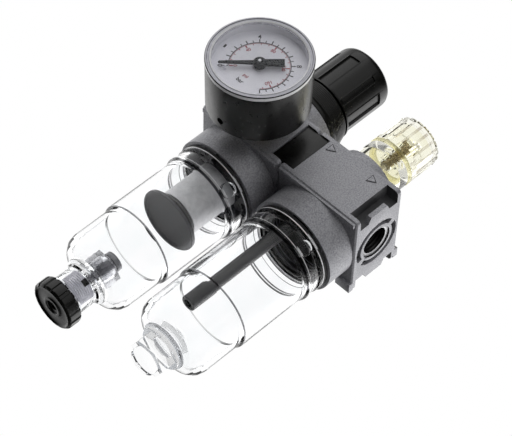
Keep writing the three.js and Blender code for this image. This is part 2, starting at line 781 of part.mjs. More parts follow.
piece(
  "gauge_window",
  turned(
    [
      [0, 33.3],
      [17, 33.3],
      [17, 31.6],
      [17.7, 31.6],
      [17.7, 33],
      [GAUGE_R + 0.1, 33],
      [GAUGE_R + 0.1, 34.4],
      [GAUGE_R - 0.6, GAUGE_FRONT],
      [18.2, GAUGE_FRONT],
      [17.4, 34.3],
      [0, 34.3],
    ],
    40,
    gauge,
  ),
  "clear_bowl",
);

// ---- coupling between the modules ----
function clamp(front) {
  const flip = (y) => (front ? FRONT_Y + y : -y);
  const span = (a, b) => [Math.min(a, b), Math.max(a, b)];
  const outerFace = front ? 0.6 : 0; // the rear clamp is flush with the rear face
  const shell = box(
    [-CLAMP_HALF_W + GAP, CLAMP_HALF_W - GAP],
    span(flip(outerFace), flip(CLAMP_DEPTH - GAP)),
    [-CLAMP_HALF_H + GAP, CLAMP_HALF_H - GAP],
  );
  const railX = GAP / 2 + RAIL_W + GAP;
  const room = box(
    [-railX, railX],
    span(flip(CLAMP_DEPTH - RAIL_H - GAP), flip(CLAMP_DEPTH + 1)),
    [-RAIL_ROOT - GAP, RAIL_ROOT + GAP],
  );
  const screwHole = rod(1.4, RAIL_ROOT - 1, CLAMP_HALF_H + 1, 12, { at: [0, flip(3.6), 0] });
  return cut(shell, room, screwHole);
}
piece("clamp_front", clamp(true), "black_plastic");
piece("clamp_rear", clamp(false), "black_plastic");
for (const [name, y] of [["clamp_screw_front", FRONT_Y + 3.6], ["clamp_screw_rear", -3.6]]) {
  const at = [0, y, 0];
  const screw = cut(rod(1.25, RAIL_ROOT + 0.1, 9.3, 12, { at }), polygon(6, 0.8, 8, 8, { at }));
  piece(name, screw, "steel");
}
piece("module_oring", torus(9.5, 0.8, 24, { aim: RIGHT, at: [0, AXIS_Y, 0] }), "rubber");

// ---- lubricator module ----
const lubricator = { at: [LUBRICATOR_X, AXIS_Y, 0] };
const dome = { at: [LUBRICATOR_X, DOME_Y, 0] };
const siphon = { at: [SIPHON_X, SIPHON_Y, 0] };

function lubricatorBody() {
  return cut(
    castBody(LUBRICATOR_X).add(rod(DOME_COLLAR_R, BLOCK_TOP - 1, DOME_COLLAR_TOP, 28, dome)),
    rod(4.2, 8, MODULE - 8, 18, { aim: RIGHT, at: [0, AXIS_Y, 0] }),
    rod(11.2, 13, DOME_COLLAR_TOP + 1, 24, dome),
    rod(1, 0, 14, 8, { at: [LUBRICATOR_X, AXIS_Y - 1.5, 0] }),
    rod(1.9, SOCKET_TOP - 1, -5, 10, siphon),
    rod(1.2, -6, 14, 8, siphon),
    rod(1, SOCKET_TOP - 1, -2, 8, { at: [LUBRICATOR_X + 6, AXIS_Y, 0] }),
  );
}
piece("lubricator_body", lubricatorBody(), "casting");

piece("dome_oring", torus(9.6, 0.6, 20, { at: [LUBRICATOR_X, DOME_Y, 13.9] }), "rubber");
const domeRoof = AMBER_Z - 0.9;
piece(
  "sight_dome",
  turned(
    [
      [8.2, 14.8],
      [DOME_R + 0.3, 14.8],
      [DOME_R + 0.3, 16.6],
      [DOME_R, 17],
      [DOME_R - 0.1, domeRoof],
      [2.4, domeRoof],
      [2.4, domeRoof - 2],
      [8.2, domeRoof - 2.6],
    ],
    28,
    dome,
  ),
  "clear_amber",
);
piece("dome_ring", tube(DOME_R, 7.4, domeRoof + GAP, AMBER_Z + 1, 28, dome), "amber");
function oilKnob() {
  const low = AMBER_Z + 1 + GAP;
  let knob = turned(
    [
      [0, OIL_SCREW_TOP + GAP],
      [2.3, OIL_SCREW_TOP + GAP],
      [2.3, low],
      [DOME_R, low],
      [DOME_R, OIL_KNOB_TOP - 0.8],
      [DOME_R - 0.8, OIL_KNOB_TOP],
      [0, OIL_KNOB_TOP],
    ],
    28,
    dome,
  );
  for (let i = 0; i < 18; i += 1) {
    knob = cut(knob, sector(DOME_R - 0.7, DOME_R + 1, 20 * i, 7, low + 2.4, OIL_KNOB_TOP + 1, dome));
  }
  return knob;
}
piece("oil_knob", oilKnob(), "clear_amber");
piece(
  "metering_screw",
  turned(
    [
      [0, 22.2],
      [0.5, 22.6],
      [1.2, 25],
      [2, 25],
      [2, OIL_SCREW_TOP],
      [0, OIL_SCREW_TOP],
    ],
    14,
    dome,
  ),
  "brass",
);
piece(
  "drip_tube",
  cut(
    turned(
      [
        [0, 13.3],
        [4, 13.3],
        [4, 15],
        [2.6, 16],
        [2.2, 21.6],
        [0, 21.6],
      ],
      14,
      dome,
    ),
    rod(0.8, 12, 23, 8, dome),
  ),
  "clear_amber",
);

function oilInsert() {
  const cup = turned(
    [
      [12.6, INSERT_BOTTOM],
      [14.5, INSERT_BOTTOM],
      [14.5, SOCKET_TOP - GAP],
      [0, SOCKET_TOP - GAP],
      [0, -17.4],
      [12.6, -17.4],
    ],
    28,
    lubricator,
  );
  const socket = rod(3.9, -20, -17, 14, siphon);
  return cut(
    join(cup, socket),
    rod(2.9, -21, -15.6, 14, siphon),
    rod(1.1, -16, -13, 8, siphon),
    rod(1, -18, -13, 8, { at: [LUBRICATOR_X + 6, AXIS_Y, 0] }),
  );
}
piece("oil_insert", oilInsert(), "black_plastic");
piece("siphon_tube", tube(2.6, 1.4, -68, -16, 14, siphon), "black_plastic");
piece(
  "siphon_tip",
  turned(
    [
      [1.2, -73],
      [2.95, -73],
      [3.1, -72.6],
      [3.1, -61.6],
      [2.85, -61.2],
      [2.85, -68.3],
      [1.2, -68.3],
    ],
    14,
    siphon,
  ),
  "black_plastic",
);
const ballProfile = Array.from({ length: 9 }, (_, i) => {
  const [x, y] = polar(1.4, -90 + 22.5 * i);
  return [i % 8 === 0 ? 0 : x, y];
});
piece("check_ball", turned(ballProfile, 12, { at: [SIPHON_X, SIPHON_Y, SOCKET_TOP + 1.5] }), "steel");
piece(
  "flow_vane",
  cut(
    rod(3.6, -0.3, 0.3, 14, { aim: RIGHT, at: [LUBRICATOR_X + 4, AXIS_Y, 0] }),
    rod(0.6, -1, 1, 8, { aim: RIGHT, at: [LUBRICATOR_X + 4, AXIS_Y, 0] }),
  ),
  "steel",
);
piece("lubricator_bowl", bowl(LUBRICATOR_X, -52), "clear_bowl");
piece("lubricator_bowl_oring", bowlSeal(LUBRICATOR_X), "rubber");
piece("plug_washer", tube(9.8, 4.6, -89, BOWL_BOTTOM - GAP, 24, lubricator), "grey_plastic");
piece(
  "fill_plug",
  join(
    rod(4.1, -90, -83, 14, lubricator),
    rod(6.6, BOWL_BOTTOM + BOWL_WALL + GAP, -83, 18, lubricator),
    rod(9, -90.6, -89.3, 20, lubricator),
    polygon(6, 8, -96.6, -90, lubricator),
    rod(5.6, -99.4, -96, 18, lubricator),
  ),
  "clear_bowl",
);

export default unit;
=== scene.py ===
"""A filter-regulator with a pressure gauge, clamped to a lubricator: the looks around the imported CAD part.

Lengths in this file are millimetres in the part's own frame, unless a name ends in _M.
"""

import json
import math

import bmesh
import bpy
from mathutils import Matrix, Vector

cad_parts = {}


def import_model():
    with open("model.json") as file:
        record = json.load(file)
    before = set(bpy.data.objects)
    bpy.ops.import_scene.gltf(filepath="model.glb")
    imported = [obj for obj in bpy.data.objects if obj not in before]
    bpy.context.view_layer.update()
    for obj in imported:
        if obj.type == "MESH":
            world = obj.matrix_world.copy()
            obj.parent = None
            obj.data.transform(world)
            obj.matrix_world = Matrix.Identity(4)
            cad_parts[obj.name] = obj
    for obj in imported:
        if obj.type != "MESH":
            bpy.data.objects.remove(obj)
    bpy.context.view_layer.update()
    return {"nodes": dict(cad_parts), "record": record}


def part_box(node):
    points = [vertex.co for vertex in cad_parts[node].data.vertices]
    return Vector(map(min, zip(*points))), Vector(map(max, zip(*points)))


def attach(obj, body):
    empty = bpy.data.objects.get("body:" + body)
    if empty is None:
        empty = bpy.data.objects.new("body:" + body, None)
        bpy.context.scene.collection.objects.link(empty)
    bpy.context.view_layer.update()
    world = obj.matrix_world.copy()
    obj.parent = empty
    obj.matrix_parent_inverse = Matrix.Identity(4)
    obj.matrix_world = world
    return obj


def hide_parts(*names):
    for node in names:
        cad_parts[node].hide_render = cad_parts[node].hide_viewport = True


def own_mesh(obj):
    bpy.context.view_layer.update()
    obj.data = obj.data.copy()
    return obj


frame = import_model()

MM = 0.001
SEGMENTS = 96  # round a full turn of an ordinary turned piece
SHARP_ANGLE = 38  # degrees: edges flatter than this are shaded smooth
BEVELLED_ANGLE = 28  # degrees: a CAD edge sharper than this is softened
FLAT_ANGLE = 1  # degrees: CAD faces that meet flatter than this become one
BEVEL_STEPS = 2
BEVEL_ROUNDNESS = 0.6
SIDE_SHARE = 0.45  # a rounded corner takes no more of a side than this
LEAST_REACH = 1e-4  # corners are left alone when there is less room than this
LEAST_TURN = 1e-3  # or when the line turns less than this (1 + the cosine between the sides)
CLOSE = 1e-6  # lengths that differ by less are the same
WELD = 1e-3  # CAD points nearer than this become one

# ---- driving dimensions ----

# The two castings: each is MODULE_LENGTH long, and they meet at x = 0.
MODULE_LENGTH = 40.0
MODULE_X = MODULE_LENGTH / 2
CASTING_BEVEL = 0.4
RIM_HEIGHT = 0.42  # the bright edge round the bottom of a neck

# A G1/4 port, with the shallow step round its mouth.
THREAD_PITCH = 1.337
THREAD_TURNS = 7
THREAD_START = 0.8
THREAD_END = 10.4
PORT_CORE_R = 4.0
PORT_MINOR_R = 5.6
PORT_MAJOR_R = 6.5
MOUTH_R = 7.1
MOUTH_DEPTH = 0.8
PORT_FACE_R = 11.2  # round the port and its seal's groove
PORT_SLACK = 0.1

# The clamp pockets at the castings' ends, the rail in each, and the arrows on the front face.
FACE_SKIN = 0.15  # a face this near the front belongs to the front
END_SKIN = 0.2  # and a face this near the end belongs to the end
POCKET_REACH = 5.6
POCKET_HALF_H = 10
RAIL_REACH = 2.2
RAIL_HALF_H = 5.7
RAIL_DEPTH = 4.9
ARROW_Z = 7.4
ARROW_OFFSETS = (-11.5, 9)
ARROW_REACH = 3
ARROW_DEPTH = 0.5

# The bowls.
BUTTON_Z = -29.6
TAB_WIDTH = 21  # degrees
FILTER_BUTTON_ANGLE = -46
OIL_BUTTON_ANGLE = -52
SEAL_R = 17.4
SEAL_Z = -24.45
SEAL_THICKNESS = 0.6

# The manual drain.
DRAIN_THREAD_R = 6.1
DRAIN_THREAD_DEPTH = 0.6
DRAIN_THREAD_PITCH = 0.9
DRAIN_WINDOW_ANGLE = -60
DRAIN_WINDOW_R = 5.2
DRAIN_WINDOW_Z = -94
DRAIN_FLUTE_LEAST_R = 9
DRAIN_FLUTE_PITCH = 22.5  # degrees
DRAIN_FLUTE_WIDTH = 6.5  # degrees
DRAIN_FLUTE_DEPTH = 0.45

# The fill plug's hexagon.
HEX_LEAST_R = 5.7
HEX_LOW = -96.6
HEX_HIGH = -90.5
HEX_SIDE = 60  # degrees

# The gauge, whose z counts out from the body's face.
DIAL_Z = 29.9
INK_LOW = DIAL_Z + 0.03
INK_HIGH = DIAL_Z + 0.07
LETTER_Z = DIAL_Z + 0.05
ZERO_ANGLE = 225
SCALE_SWEEP = 270
BAR_ANGLE = 22.5
BAR_LABELS = (0, 4, 8, 12)
BAR_LABEL_R = 14.0
HALF_BAR_STEPS = 24
PSI_PER_BAR = 14.504
PSI_LABELS = (0, 40, 80, 120, 160)
PSI_LABEL_R = 8.6
PSI_END = 175
CASE_HOLE_R = 1.5
CASE_HOLE_OUT = 15.3  # from the castings' front face to the hole in the case

# The bonnet's ridges.
RIDGES = 9
RIDGE_PITCH = 0.95
RIDGE_DEPTH = 0.45
RIDGE_START_Z = 23.2
CONE_R = 17.6
CONE_Z = 22.2
CONE_SLOPE = 0.36

# The adjusting knob's grips, four of each kind: where the first stands, half its width, both in degrees,
# and its depth.
KNOB_R = 13.3
GRIP_TURN = 90  # degrees
GRIP_LEAST_R = 13
WIDE_GRIP = (95, 12, 0.75)
NARROW_GRIP = (46, 5, 0.55)
GRIP_BORDER_WIDTH = 1.5  # degrees
GRIP_BORDER_HEIGHT = 0.12
GRIP_LOW = 33.6
GRIP_HIGH = 51.9
GRIP_ROWS = 24
GRIP_ROWS_LOW = 33.5
GRIP_ROWS_HEIGHT = 18.3

# The oil knob's ribs.
OIL_KNOB_R = 10.6
OIL_KNOB_LOW = 29.3
RIB_PITCH = 20  # degrees
RIB_DEPTH = 0.8
RIB_LOW = 31.6
RIB_LEAST_R = 10.2

# What gives way: how far each nut or plate travels.
NUT_TRAVEL = 6.0
PLATE_TRAVEL = 1.2
DIAPHRAGM_TRAVEL = 0.95

# ---- where the CAD's axes are ----


def middle(node):
    low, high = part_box(node)
    return (low + high) / 2 / MM


ELEMENT_AXIS = middle("filter_element")
WASHER_AXIS = middle("plug_washer")
DOME_AXIS = middle("dome_ring")
SIPHON_AXIS = middle("siphon_tube")
GAUGE_AXIS = middle("gauge_case")
FRONT_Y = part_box("gauge_seal")[1].y / MM + 0.3


def upright(point):
    """Carries (x, y, z) built round the Z axis to a piece whose axis stands at that point."""
    return Matrix.Translation((point.x * MM, point.y * MM, 0))


REGULATOR = upright(ELEMENT_AXIS)
LUBRICATOR = upright(WASHER_AXIS)
DOME = upright(DOME_AXIS)
SIPHON = upright(SIPHON_AXIS)
# The gauge looks along -Y: its own x is +X, its y is +Z, and its z counts out from the body's face.
GAUGE = Matrix.Translation((GAUGE_AXIS.x * MM, FRONT_Y * MM, GAUGE_AXIS.z * MM)) @ Matrix.Rotation(
    math.pi / 2, 4, "X"
)


# ---- mesh helpers ----


def smooth_shading(mesh):
    """Smooth faces that meet in sharp edges."""
    for polygon in mesh.polygons:
        polygon.use_smooth = True
    mesh.set_sharp_from_angle(angle=math.radians(SHARP_ANGLE))


def placed(bm, place):
    """Takes a bmesh from millimetres to metres and puts it in its place."""
    bmesh.ops.recalc_face_normals(bm, faces=bm.faces)
    bmesh.ops.scale(bm, vec=(MM, MM, MM), verts=bm.verts)
    bmesh.ops.transform(bm, matrix=place, verts=bm.verts)


def finish_mesh(name, bm, place, material, body, replaced=()):
    """Turns a bmesh in millimetres into a named piece that rides on a CAD body."""
    placed(bm, place)
    mesh = bpy.data.meshes.new(name)
    bm.to_mesh(mesh)
    bm.free()
    smooth_shading(mesh)
    mesh.materials.append(material)
    piece = bpy.data.objects.new(name, mesh)
    bpy.context.scene.collection.objects.link(piece)
    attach(piece, body)
    if replaced:
        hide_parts(*replaced)
    return piece


def rounded(profile, radius, closed=False, steps=3):
    """Rounds each corner of a [r, z] line, by up to radius and never past SIDE_SHARE of a side."""
    points = [Vector(p) for p in profile]
    count = len(points)
    out = []
    for i, corner in enumerate(points):
        if not closed and i in (0, count - 1):
            out.append(corner)
            continue
        before = points[i - 1] - corner
        after = points[(i + 1) % count] - corner
        reach = min(radius, SIDE_SHARE * before.length, SIDE_SHARE * after.length)
        turn = abs(before.normalized().dot(after.normalized()) + 1)
        if reach < LEAST_REACH or turn < LEAST_TURN:
            out.append(corner)
            continue
        a = corner + before.normalized() * reach
        b = corner + after.normalized() * reach
        for k in range(steps + 1):
            t = k / steps
            out.append(a * (1 - t) ** 2 + corner * 2 * t * (1 - t) + b * t * t)
    return [tuple(p) for p in out]


def starts_and_ends_on_axis(profile):
    return profile[0][0] < CLOSE and profile[-1][0] < CLOSE


def revolve(profile, segments=SEGMENTS, shape=None):
    """A bmesh turned from [r, z] points. A line that starts off the axis is closed into a ring.

    shape(angle in degrees, r, z) may give back another radius, for ribs and recesses.
    """
    bm = bmesh.new()
    solid = starts_and_ends_on_axis(profile)
    inner = profile[1:-1] if solid else profile
    rings = []
    for r, z in inner:
        ring = []
        for k in range(segments):
            angle = 360 * k / segments
            radius = shape(angle, r, z) if shape else r
            x = radius * math.cos(math.radians(angle))
            y = radius * math.sin(math.radians(angle))
            ring.append(bm.verts.new((x, y, z)))
        rings.append(ring)
    pairs = list(zip(rings, rings[1:]))
    if not solid:
        pairs.append((rings[-1], rings[0]))
    for a, b in pairs:
        for k in range(segments):
            n = (k + 1) % segments
            bm.faces.new((a[k], a[n], b[n], b[k]))
    if solid:
        for ring, (_, z) in ((rings[0], profile[0]), (rings[-1], profile[-1])):
            pole = bm.verts.new((0, 0, z))
            for k in range(segments):
                bm.faces.new((ring[k], ring[(k + 1) % segments], pole))
    return bm


def turned(
    name, profile, place, material, body, replaced=(), soften=0.25, segments=SEGMENTS, shape=None
):
    """A named piece of revolution with softened corners."""
    line = rounded(profile, soften, not starts_and_ends_on_axis(profile)) if soften else profile
    return finish_mesh(name, revolve(line, segments, shape), place, material, body, replaced)


def merged(*parts):
    """Puts several bmeshes into the first one."""
    whole = parts[0]
    for part in parts[1:]:
        mesh = bpy.data.meshes.new("part")
        part.to_mesh(mesh)
        part.free()
        whole.from_mesh(mesh)
        bpy.data.meshes.remove(mesh)
    return whole


def bevelled(bm, edges, width, limited=False):
    """Rounds off edges. Limited, a bevel stops where it would meet another."""
    bmesh.ops.bevel(
        bm, geom=edges, offset=width, segments=BEVEL_STEPS, affect="EDGES", profile=BEVEL_ROUNDNESS,
        clamp_overlap=limited,
    )


def extruded(outline, low, high, bevel=0.0):
    """A bmesh prism over an [x, y] outline, with its edges bevelled."""
    bm = bmesh.new()
    base = [bm.verts.new((x, y, low)) for x, y in outline]
    top = [bm.verts.new((x, y, high)) for x, y in outline]
    count = len(outline)
    bm.faces.new(list(reversed(base)))
    bm.faces.new(top)
    for k in range(count):
        n = (k + 1) % count
        bm.faces.new((base[k], base[n], top[n], top[k]))
    if bevel:
        bevelled(bm, bm.edges[:], bevel)
    return bm


def added_finish(piece, finish):
    """Gives a piece one more finish, and says its index."""
    piece.data.materials.append(finish)
    return len(piece.data.materials) - 1


def banded(piece, place, bands):
    """Gives the faces that lie in each band of heights and radii, round a piece's axis, their own finish."""
    back = place.inverted()
    centres = [back @ face.center / MM for face in piece.data.polygons]
    for finish, low, high, least, most in bands:
        index = added_finish(piece, finish)
        for face, centre in zip(piece.data.polygons, centres):
            if low < centre.z < high and least < math.hypot(centre.x, centre.y) < most:
                face.material_index = index
    return piece


def polar(radius, degrees):
    return radius * math.cos(math.radians(degrees)), radius * math.sin(math.radians(degrees))


def arc_block(inner, outer, middle_angle, width, low, high, bevel=0.0):
    """A block of a ring: between two radii, over an angle in degrees, between two heights."""
    steps = max(3, round(width / 3))
    angles = [middle_angle - width / 2 + width * k / steps for k in range(steps + 1)]
    outline = [polar(outer, a) for a in angles] + [polar(inner, a) for a in reversed(angles)]
    return extruded(outline, low, high, bevel)


def refined(node, material, body, width=0.25):
    """The CAD node's own shape, with its edges softened, as a piece that stands for it."""
    source = frame["nodes"][node].data
    bm = bmesh.new()
    bm.from_mesh(source)
    bmesh.ops.scale(bm, vec=(1 / MM, 1 / MM, 1 / MM), verts=bm.verts)
    bmesh.ops.remove_doubles(bm, verts=bm.verts, dist=WELD)
    bmesh.ops.dissolve_limit(bm, angle_limit=math.radians(FLAT_ANGLE), verts=bm.verts, edges=bm.edges)
    if width:
        sharp = [
            e for e in bm.edges
            if len(e.link_faces) == 2 and e.calc_face_angle(0) > math.radians(BEVELLED_ANGLE)
        ]
        bevelled(bm, sharp, width, True)
    return finish_mesh(node + "_finished", bm, Matrix.Identity(4), material, body, (node,))


# ---- materials ----

NOISE_LOW = 0.3  # noise seldom strays outside these
NOISE_HIGH = 0.7
WAVE_SCALE = 130  # cycles per metre of the ripple in clear plastic
RIPPLE_DEPTH_M = 0.0002


def new_material(name):
    material = bpy.data.materials.new(name)
    material.use_nodes = True
    nodes = material.node_tree.nodes
    return material, nodes, material.node_tree.links, nodes["Principled BSDF"]


def surface_noise(nodes, links, scale, detail=4.0):
    """Noise over the piece's own coordinates. Scale is in cycles per metre."""
    place = nodes.new("ShaderNodeTexCoord")
    noise = nodes.new("ShaderNodeTexNoise")
    noise.inputs["Scale"].default_value = scale
    noise.inputs["Detail"].default_value = detail
    links.new(place.outputs["Object"], noise.inputs["Vector"])
    return noise


def spread(nodes, links, source, socket, low, high):
    """A number between low and high that follows a noise output."""
    ramp = nodes.new("ShaderNodeMapRange")
    ramp.inputs["From Min"].default_value = NOISE_LOW
    ramp.inputs["From Max"].default_value = NOISE_HIGH
    ramp.inputs["To Min"].default_value = low
    ramp.inputs["To Max"].default_value = high
    links.new(source, ramp.inputs["Value"])
    links.new(ramp.outputs["Result"], socket)


def two_tone(nodes, links, source, socket, dark, light, softness=0.15):
    """A colour between dark and light. The softer the change, the fainter the pattern."""
    ramp = nodes.new("ShaderNodeValToRGB")
    ramp.color_ramp.elements[0].position = 0.5 - softness
    ramp.color_ramp.elements[1].position = 0.5 + softness
    ramp.color_ramp.elements[0].color = (*dark, 1)
    ramp.color_ramp.elements[1].color = (*light, 1)
    links.new(source, ramp.inputs["Fac"])
    links.new(ramp.outputs["Color"], socket)


def grained(nodes, links, source, shader, strength, depth_m):
    """A fine relief on the surface that follows a noise output."""
    bumped = nodes.new("ShaderNodeBump")
    bumped.inputs["Strength"].default_value = strength
    bumped.inputs["Distance"].default_value = depth_m
    links.new(source, bumped.inputs["Height"])
    links.new(bumped.outputs["Normal"], shader.inputs["Normal"])


def solid_finish(
    name, dark, light, rough, metallic=0.0, grain=9000, bump=0.15, patch=500, depth_m=0.00002, gloss=0.5,
    softness=0.15, fine_share=0.5,
):
    """An opaque finish: broad colour patches, roughness that varies, and a fine bumped grain."""
    material, nodes, links, shader = new_material(name)
    shader.inputs["Metallic"].default_value = metallic
    shader.inputs["Specular IOR Level"].default_value = gloss
    broad = surface_noise(nodes, links, patch)
    fine = surface_noise(nodes, links, grain, 2.0)
    blend = nodes.new("ShaderNodeMix")
    blend.inputs["Factor"].default_value = fine_share
    links.new(broad.outputs["Fac"], blend.inputs["A"])
    links.new(fine.outputs["Fac"], blend.inputs["B"])
    two_tone(nodes, links, blend.outputs["Result"], shader.inputs["Base Color"], dark, light, softness)
    spread(nodes, links, broad.outputs["Fac"], shader.inputs["Roughness"], rough[0], rough[1])
    grained(nodes, links, fine.outputs["Fac"], shader, bump, depth_m)
    return material


def clear_finish(name, tint, rough, ior, ripple=0.02):
    """Clear moulded plastic that lets lamps and bounced light through, so what it holds stays lit."""
    material, nodes, links, shader = new_material(name)
    shader.inputs["Transmission Weight"].default_value = 1.0
    shader.inputs["IOR"].default_value = ior
    wave = surface_noise(nodes, links, WAVE_SCALE, 1.0)
    two_tone(nodes, links, wave.outputs["Fac"], shader.inputs["Base Color"], tint[0], tint[1])
    spread(nodes, links, wave.outputs["Fac"], shader.inputs["Roughness"], rough[0], rough[1])
    grained(nodes, links, wave.outputs["Fac"], shader, ripple, RIPPLE_DEPTH_M)
    path = nodes.new("ShaderNodeLightPath")
    either = nodes.new("ShaderNodeMath")
    either.operation = "MAXIMUM"
    links.new(path.outputs["Is Shadow Ray"], either.inputs[0])
    links.new(path.outputs["Is Diffuse Ray"], either.inputs[1])
    through = nodes.new("ShaderNodeBsdfTransparent")
    through.inputs["Color"].default_value = (*tint[1], 1)
    mix = nodes.new("ShaderNodeMixShader")
    links.new(either.outputs[0], mix.inputs["Fac"])
    links.new(shader.outputs["BSDF"], mix.inputs[1])
    links.new(through.outputs["BSDF"], mix.inputs[2])
    links.new(mix.outputs["Shader"], nodes["Material Output"].inputs["Surface"])
    return material


def retinted(material, tint, amount):
    """Mixes a grey tint into a material's colour by an amount from 0 to 1 that another node gives."""
    nodes, links = material.node_tree.nodes, material.node_tree.links
    colour = nodes["Principled BSDF"].inputs["Base Color"]
    plain = colour.links[0].from_socket
    pick = nodes.new("ShaderNodeMixRGB")
    links.new(amount, pick.inputs["Fac"])
    links.new(plain, pick.inputs["Color1"])
    pick.inputs["Color2"].default_value = (tint, tint, tint, 1)
    links.new(pick.outputs["Color"], colour)


def outlined(material, tint, start, width=0.14):
    """Painted shade: where a surface turns away from the eye, its colour goes to this tint, standing in for
    the dark reflections at a clear moulding's edge.
    """
    nodes, links = material.node_tree.nodes, material.node_tree.links
    facing = nodes.new("ShaderNodeLayerWeight")
    facing.inputs["Blend"].default_value = 0.5
    step = nodes.new("ShaderNodeMapRange")
    step.inputs["From Min"].default_value = start
    step.inputs["From Max"].default_value = start + width
    links.new(facing.outputs["Facing"], step.inputs["Value"])
    retinted(material, tint, step.outputs["Result"])


def tinted_inside(material, tint):
    """Where a face is met from inside the plastic, its colour is this tint instead."""
    side = material.node_tree.nodes.new("ShaderNodeNewGeometry")
    retinted(material, tint, side.outputs["Backfacing"])


# Solid finishes: the name, the dark and the light colour, the roughness from and to, how metallic, the
# grain's cycles per metre and its strength. Clear ones: the two tints, the roughness, the refractive
# index and the ripple's strength.
CASTING = solid_finish(
    "casting_paint", (0.25, 0.25, 0.275), (0.45, 0.45, 0.475), (0.42, 0.52), 0.2, 1900, 0.8, 160, 0.0001,
    softness=0.13, fine_share=0.8,
)
# A light paint for painted highlights: the bright rim round each neck's foot and the step round each port.
HIGHLIGHT_PAINT = solid_finish("highlight_paint", (0.6, 0.6, 0.62), (0.8, 0.8, 0.82), (0.3, 0.4), 0.3, 1900, 0.3)
# Black moulding; it also serves as painted shade in the drain's window, on the baffle's cone and on the
# window rim's outer chamfer.
BLACK = solid_finish(
    "black_moulding_and_shade", (0.004, 0.004, 0.0035), (0.008, 0.008, 0.007), (0.26, 0.34), 0, 5000, 0.03, gloss=0.32
)
# Grey moulding; it also serves as painted shade in the clamp pockets and the grooves round the arrows.
GREY = solid_finish("grey_moulding_and_shade", (0.045, 0.045, 0.048), (0.075, 0.075, 0.08), (0.45, 0.6), 0, 6000, 0.2)
MID_GREY = solid_finish(
    "baffle_moulding", (0.075, 0.075, 0.08), (0.13, 0.13, 0.135), (0.45, 0.6), 0, 6000, 0.2
)
RUBBER = solid_finish("rubber", (0.008, 0.008, 0.008), (0.014, 0.014, 0.014), (0.55, 0.7), 0, 8000, 0.2)
# Dark bare metal for the port threads, darkened further as painted shade.
BORE_AND_SHADE = solid_finish("bare_bore_and_shade", (0.03, 0.03, 0.03), (0.055, 0.055, 0.055), (0.3, 0.4), 0.6, 6000, 0.2)
STEEL = solid_finish("plated_steel", (0.5, 0.5, 0.5), (0.64, 0.64, 0.64), (0.22, 0.34), 1, 9000, 0.1)
BRASS = solid_finish("machined_brass", (0.55, 0.4, 0.16), (0.66, 0.5, 0.22), (0.25, 0.36), 1, 9000, 0.1)
SINTER = solid_finish("sintered_element", (0.56, 0.56, 0.57), (0.8, 0.8, 0.81), (0.5, 0.65), 0.2, 5200, 0.6)
# A dark grey for painted shade in the window rim's groove and for painted highlights on the insert's rings.
SHADE_AND_HIGHLIGHT_GREY = solid_finish("grey_shade_and_highlight", (0.16, 0.16, 0.18), (0.22, 0.22, 0.25), (0.2, 0.3), 0, 4000, 0.05)
LILAC = solid_finish("bezel_haze", (0.54, 0.54, 0.6), (0.66, 0.66, 0.72), (0.2, 0.3), 0, 4000, 0.05)
# White for the pointer's pin and for painted highlights on the bowls' collars and the window rim.
WHITE_AND_HIGHLIGHT = solid_finish("white_paint_and_highlight", (0.82, 0.82, 0.84), (0.95, 0.95, 0.96), (0.25, 0.35), 0, 4000, 0.05)
DIAL = solid_finish("dial_paper", (0.76, 0.76, 0.8), (0.82, 0.82, 0.86), (0.35, 0.45), 0, 7000, 0.05)
INK = solid_finish("dial_ink", (0.012, 0.012, 0.016), (0.03, 0.03, 0.035), (0.4, 0.5), 0, 7000, 0.05)
RED_INK = solid_finish("dial_red_ink", (0.32, 0.05, 0.07), (0.42, 0.08, 0.1), (0.4, 0.5), 0, 7000, 0.05)
POINTER = solid_finish(
    "pointer_paint", (0.014, 0.017, 0.018), (0.024, 0.028, 0.03), (0.4, 0.5), 0, 7000, 0.1, gloss=0.1
)
SIPHON_BLACK = solid_finish(
    "siphon_pipe", (0.02, 0.02, 0.022), (0.035, 0.035, 0.037), (0.4, 0.5), 0, 6000, 0.2
)
NO_TINT = ((0.97, 0.98, 0.985), (0.995, 0.995, 1.0))
CLEAR = clear_finish("clear_polycarbonate", NO_TINT, (0.0, 0.01), 1.18)
CLEAR_EDGED = clear_finish("clear_foot", NO_TINT, (0.0, 0.01), 1.12)
outlined(CLEAR_EDGED, 0.16, 0.7)
CLEAR_PLUG = clear_finish("clear_plug", ((0.96, 0.965, 0.97), (0.99, 0.99, 0.995)), (0.0, 0.03), 1.1)
outlined(CLEAR_PLUG, 0.2, 0.72)
FROSTED = solid_finish("frosted_thread", (0.6, 0.6, 0.66), (0.9, 0.9, 0.95), (0.2, 0.35), 0, 4000, 0.2)
CLOUDY = clear_finish("cloudy_fitting", ((0.3, 0.3, 0.31), (0.8, 0.8, 0.82)), (0.12, 0.3), 1.3, 0.3)
SMOKE = solid_finish("smoky_rod", (0.1, 0.1, 0.11), (0.3, 0.3, 0.32), (0.3, 0.5), 0, 1500, 0.3)
CLEAR_STEM = clear_finish("clear_fittings", NO_TINT, (0.0, 0.02), 1.24)
CLEAR_YELLOW = clear_finish(
    "clear_yellow_tint", ((0.94, 0.93, 0.83), (0.975, 0.97, 0.9)), (0.01, 0.05), 1.13
)
outlined(CLEAR_YELLOW, 0.7, 0.8)
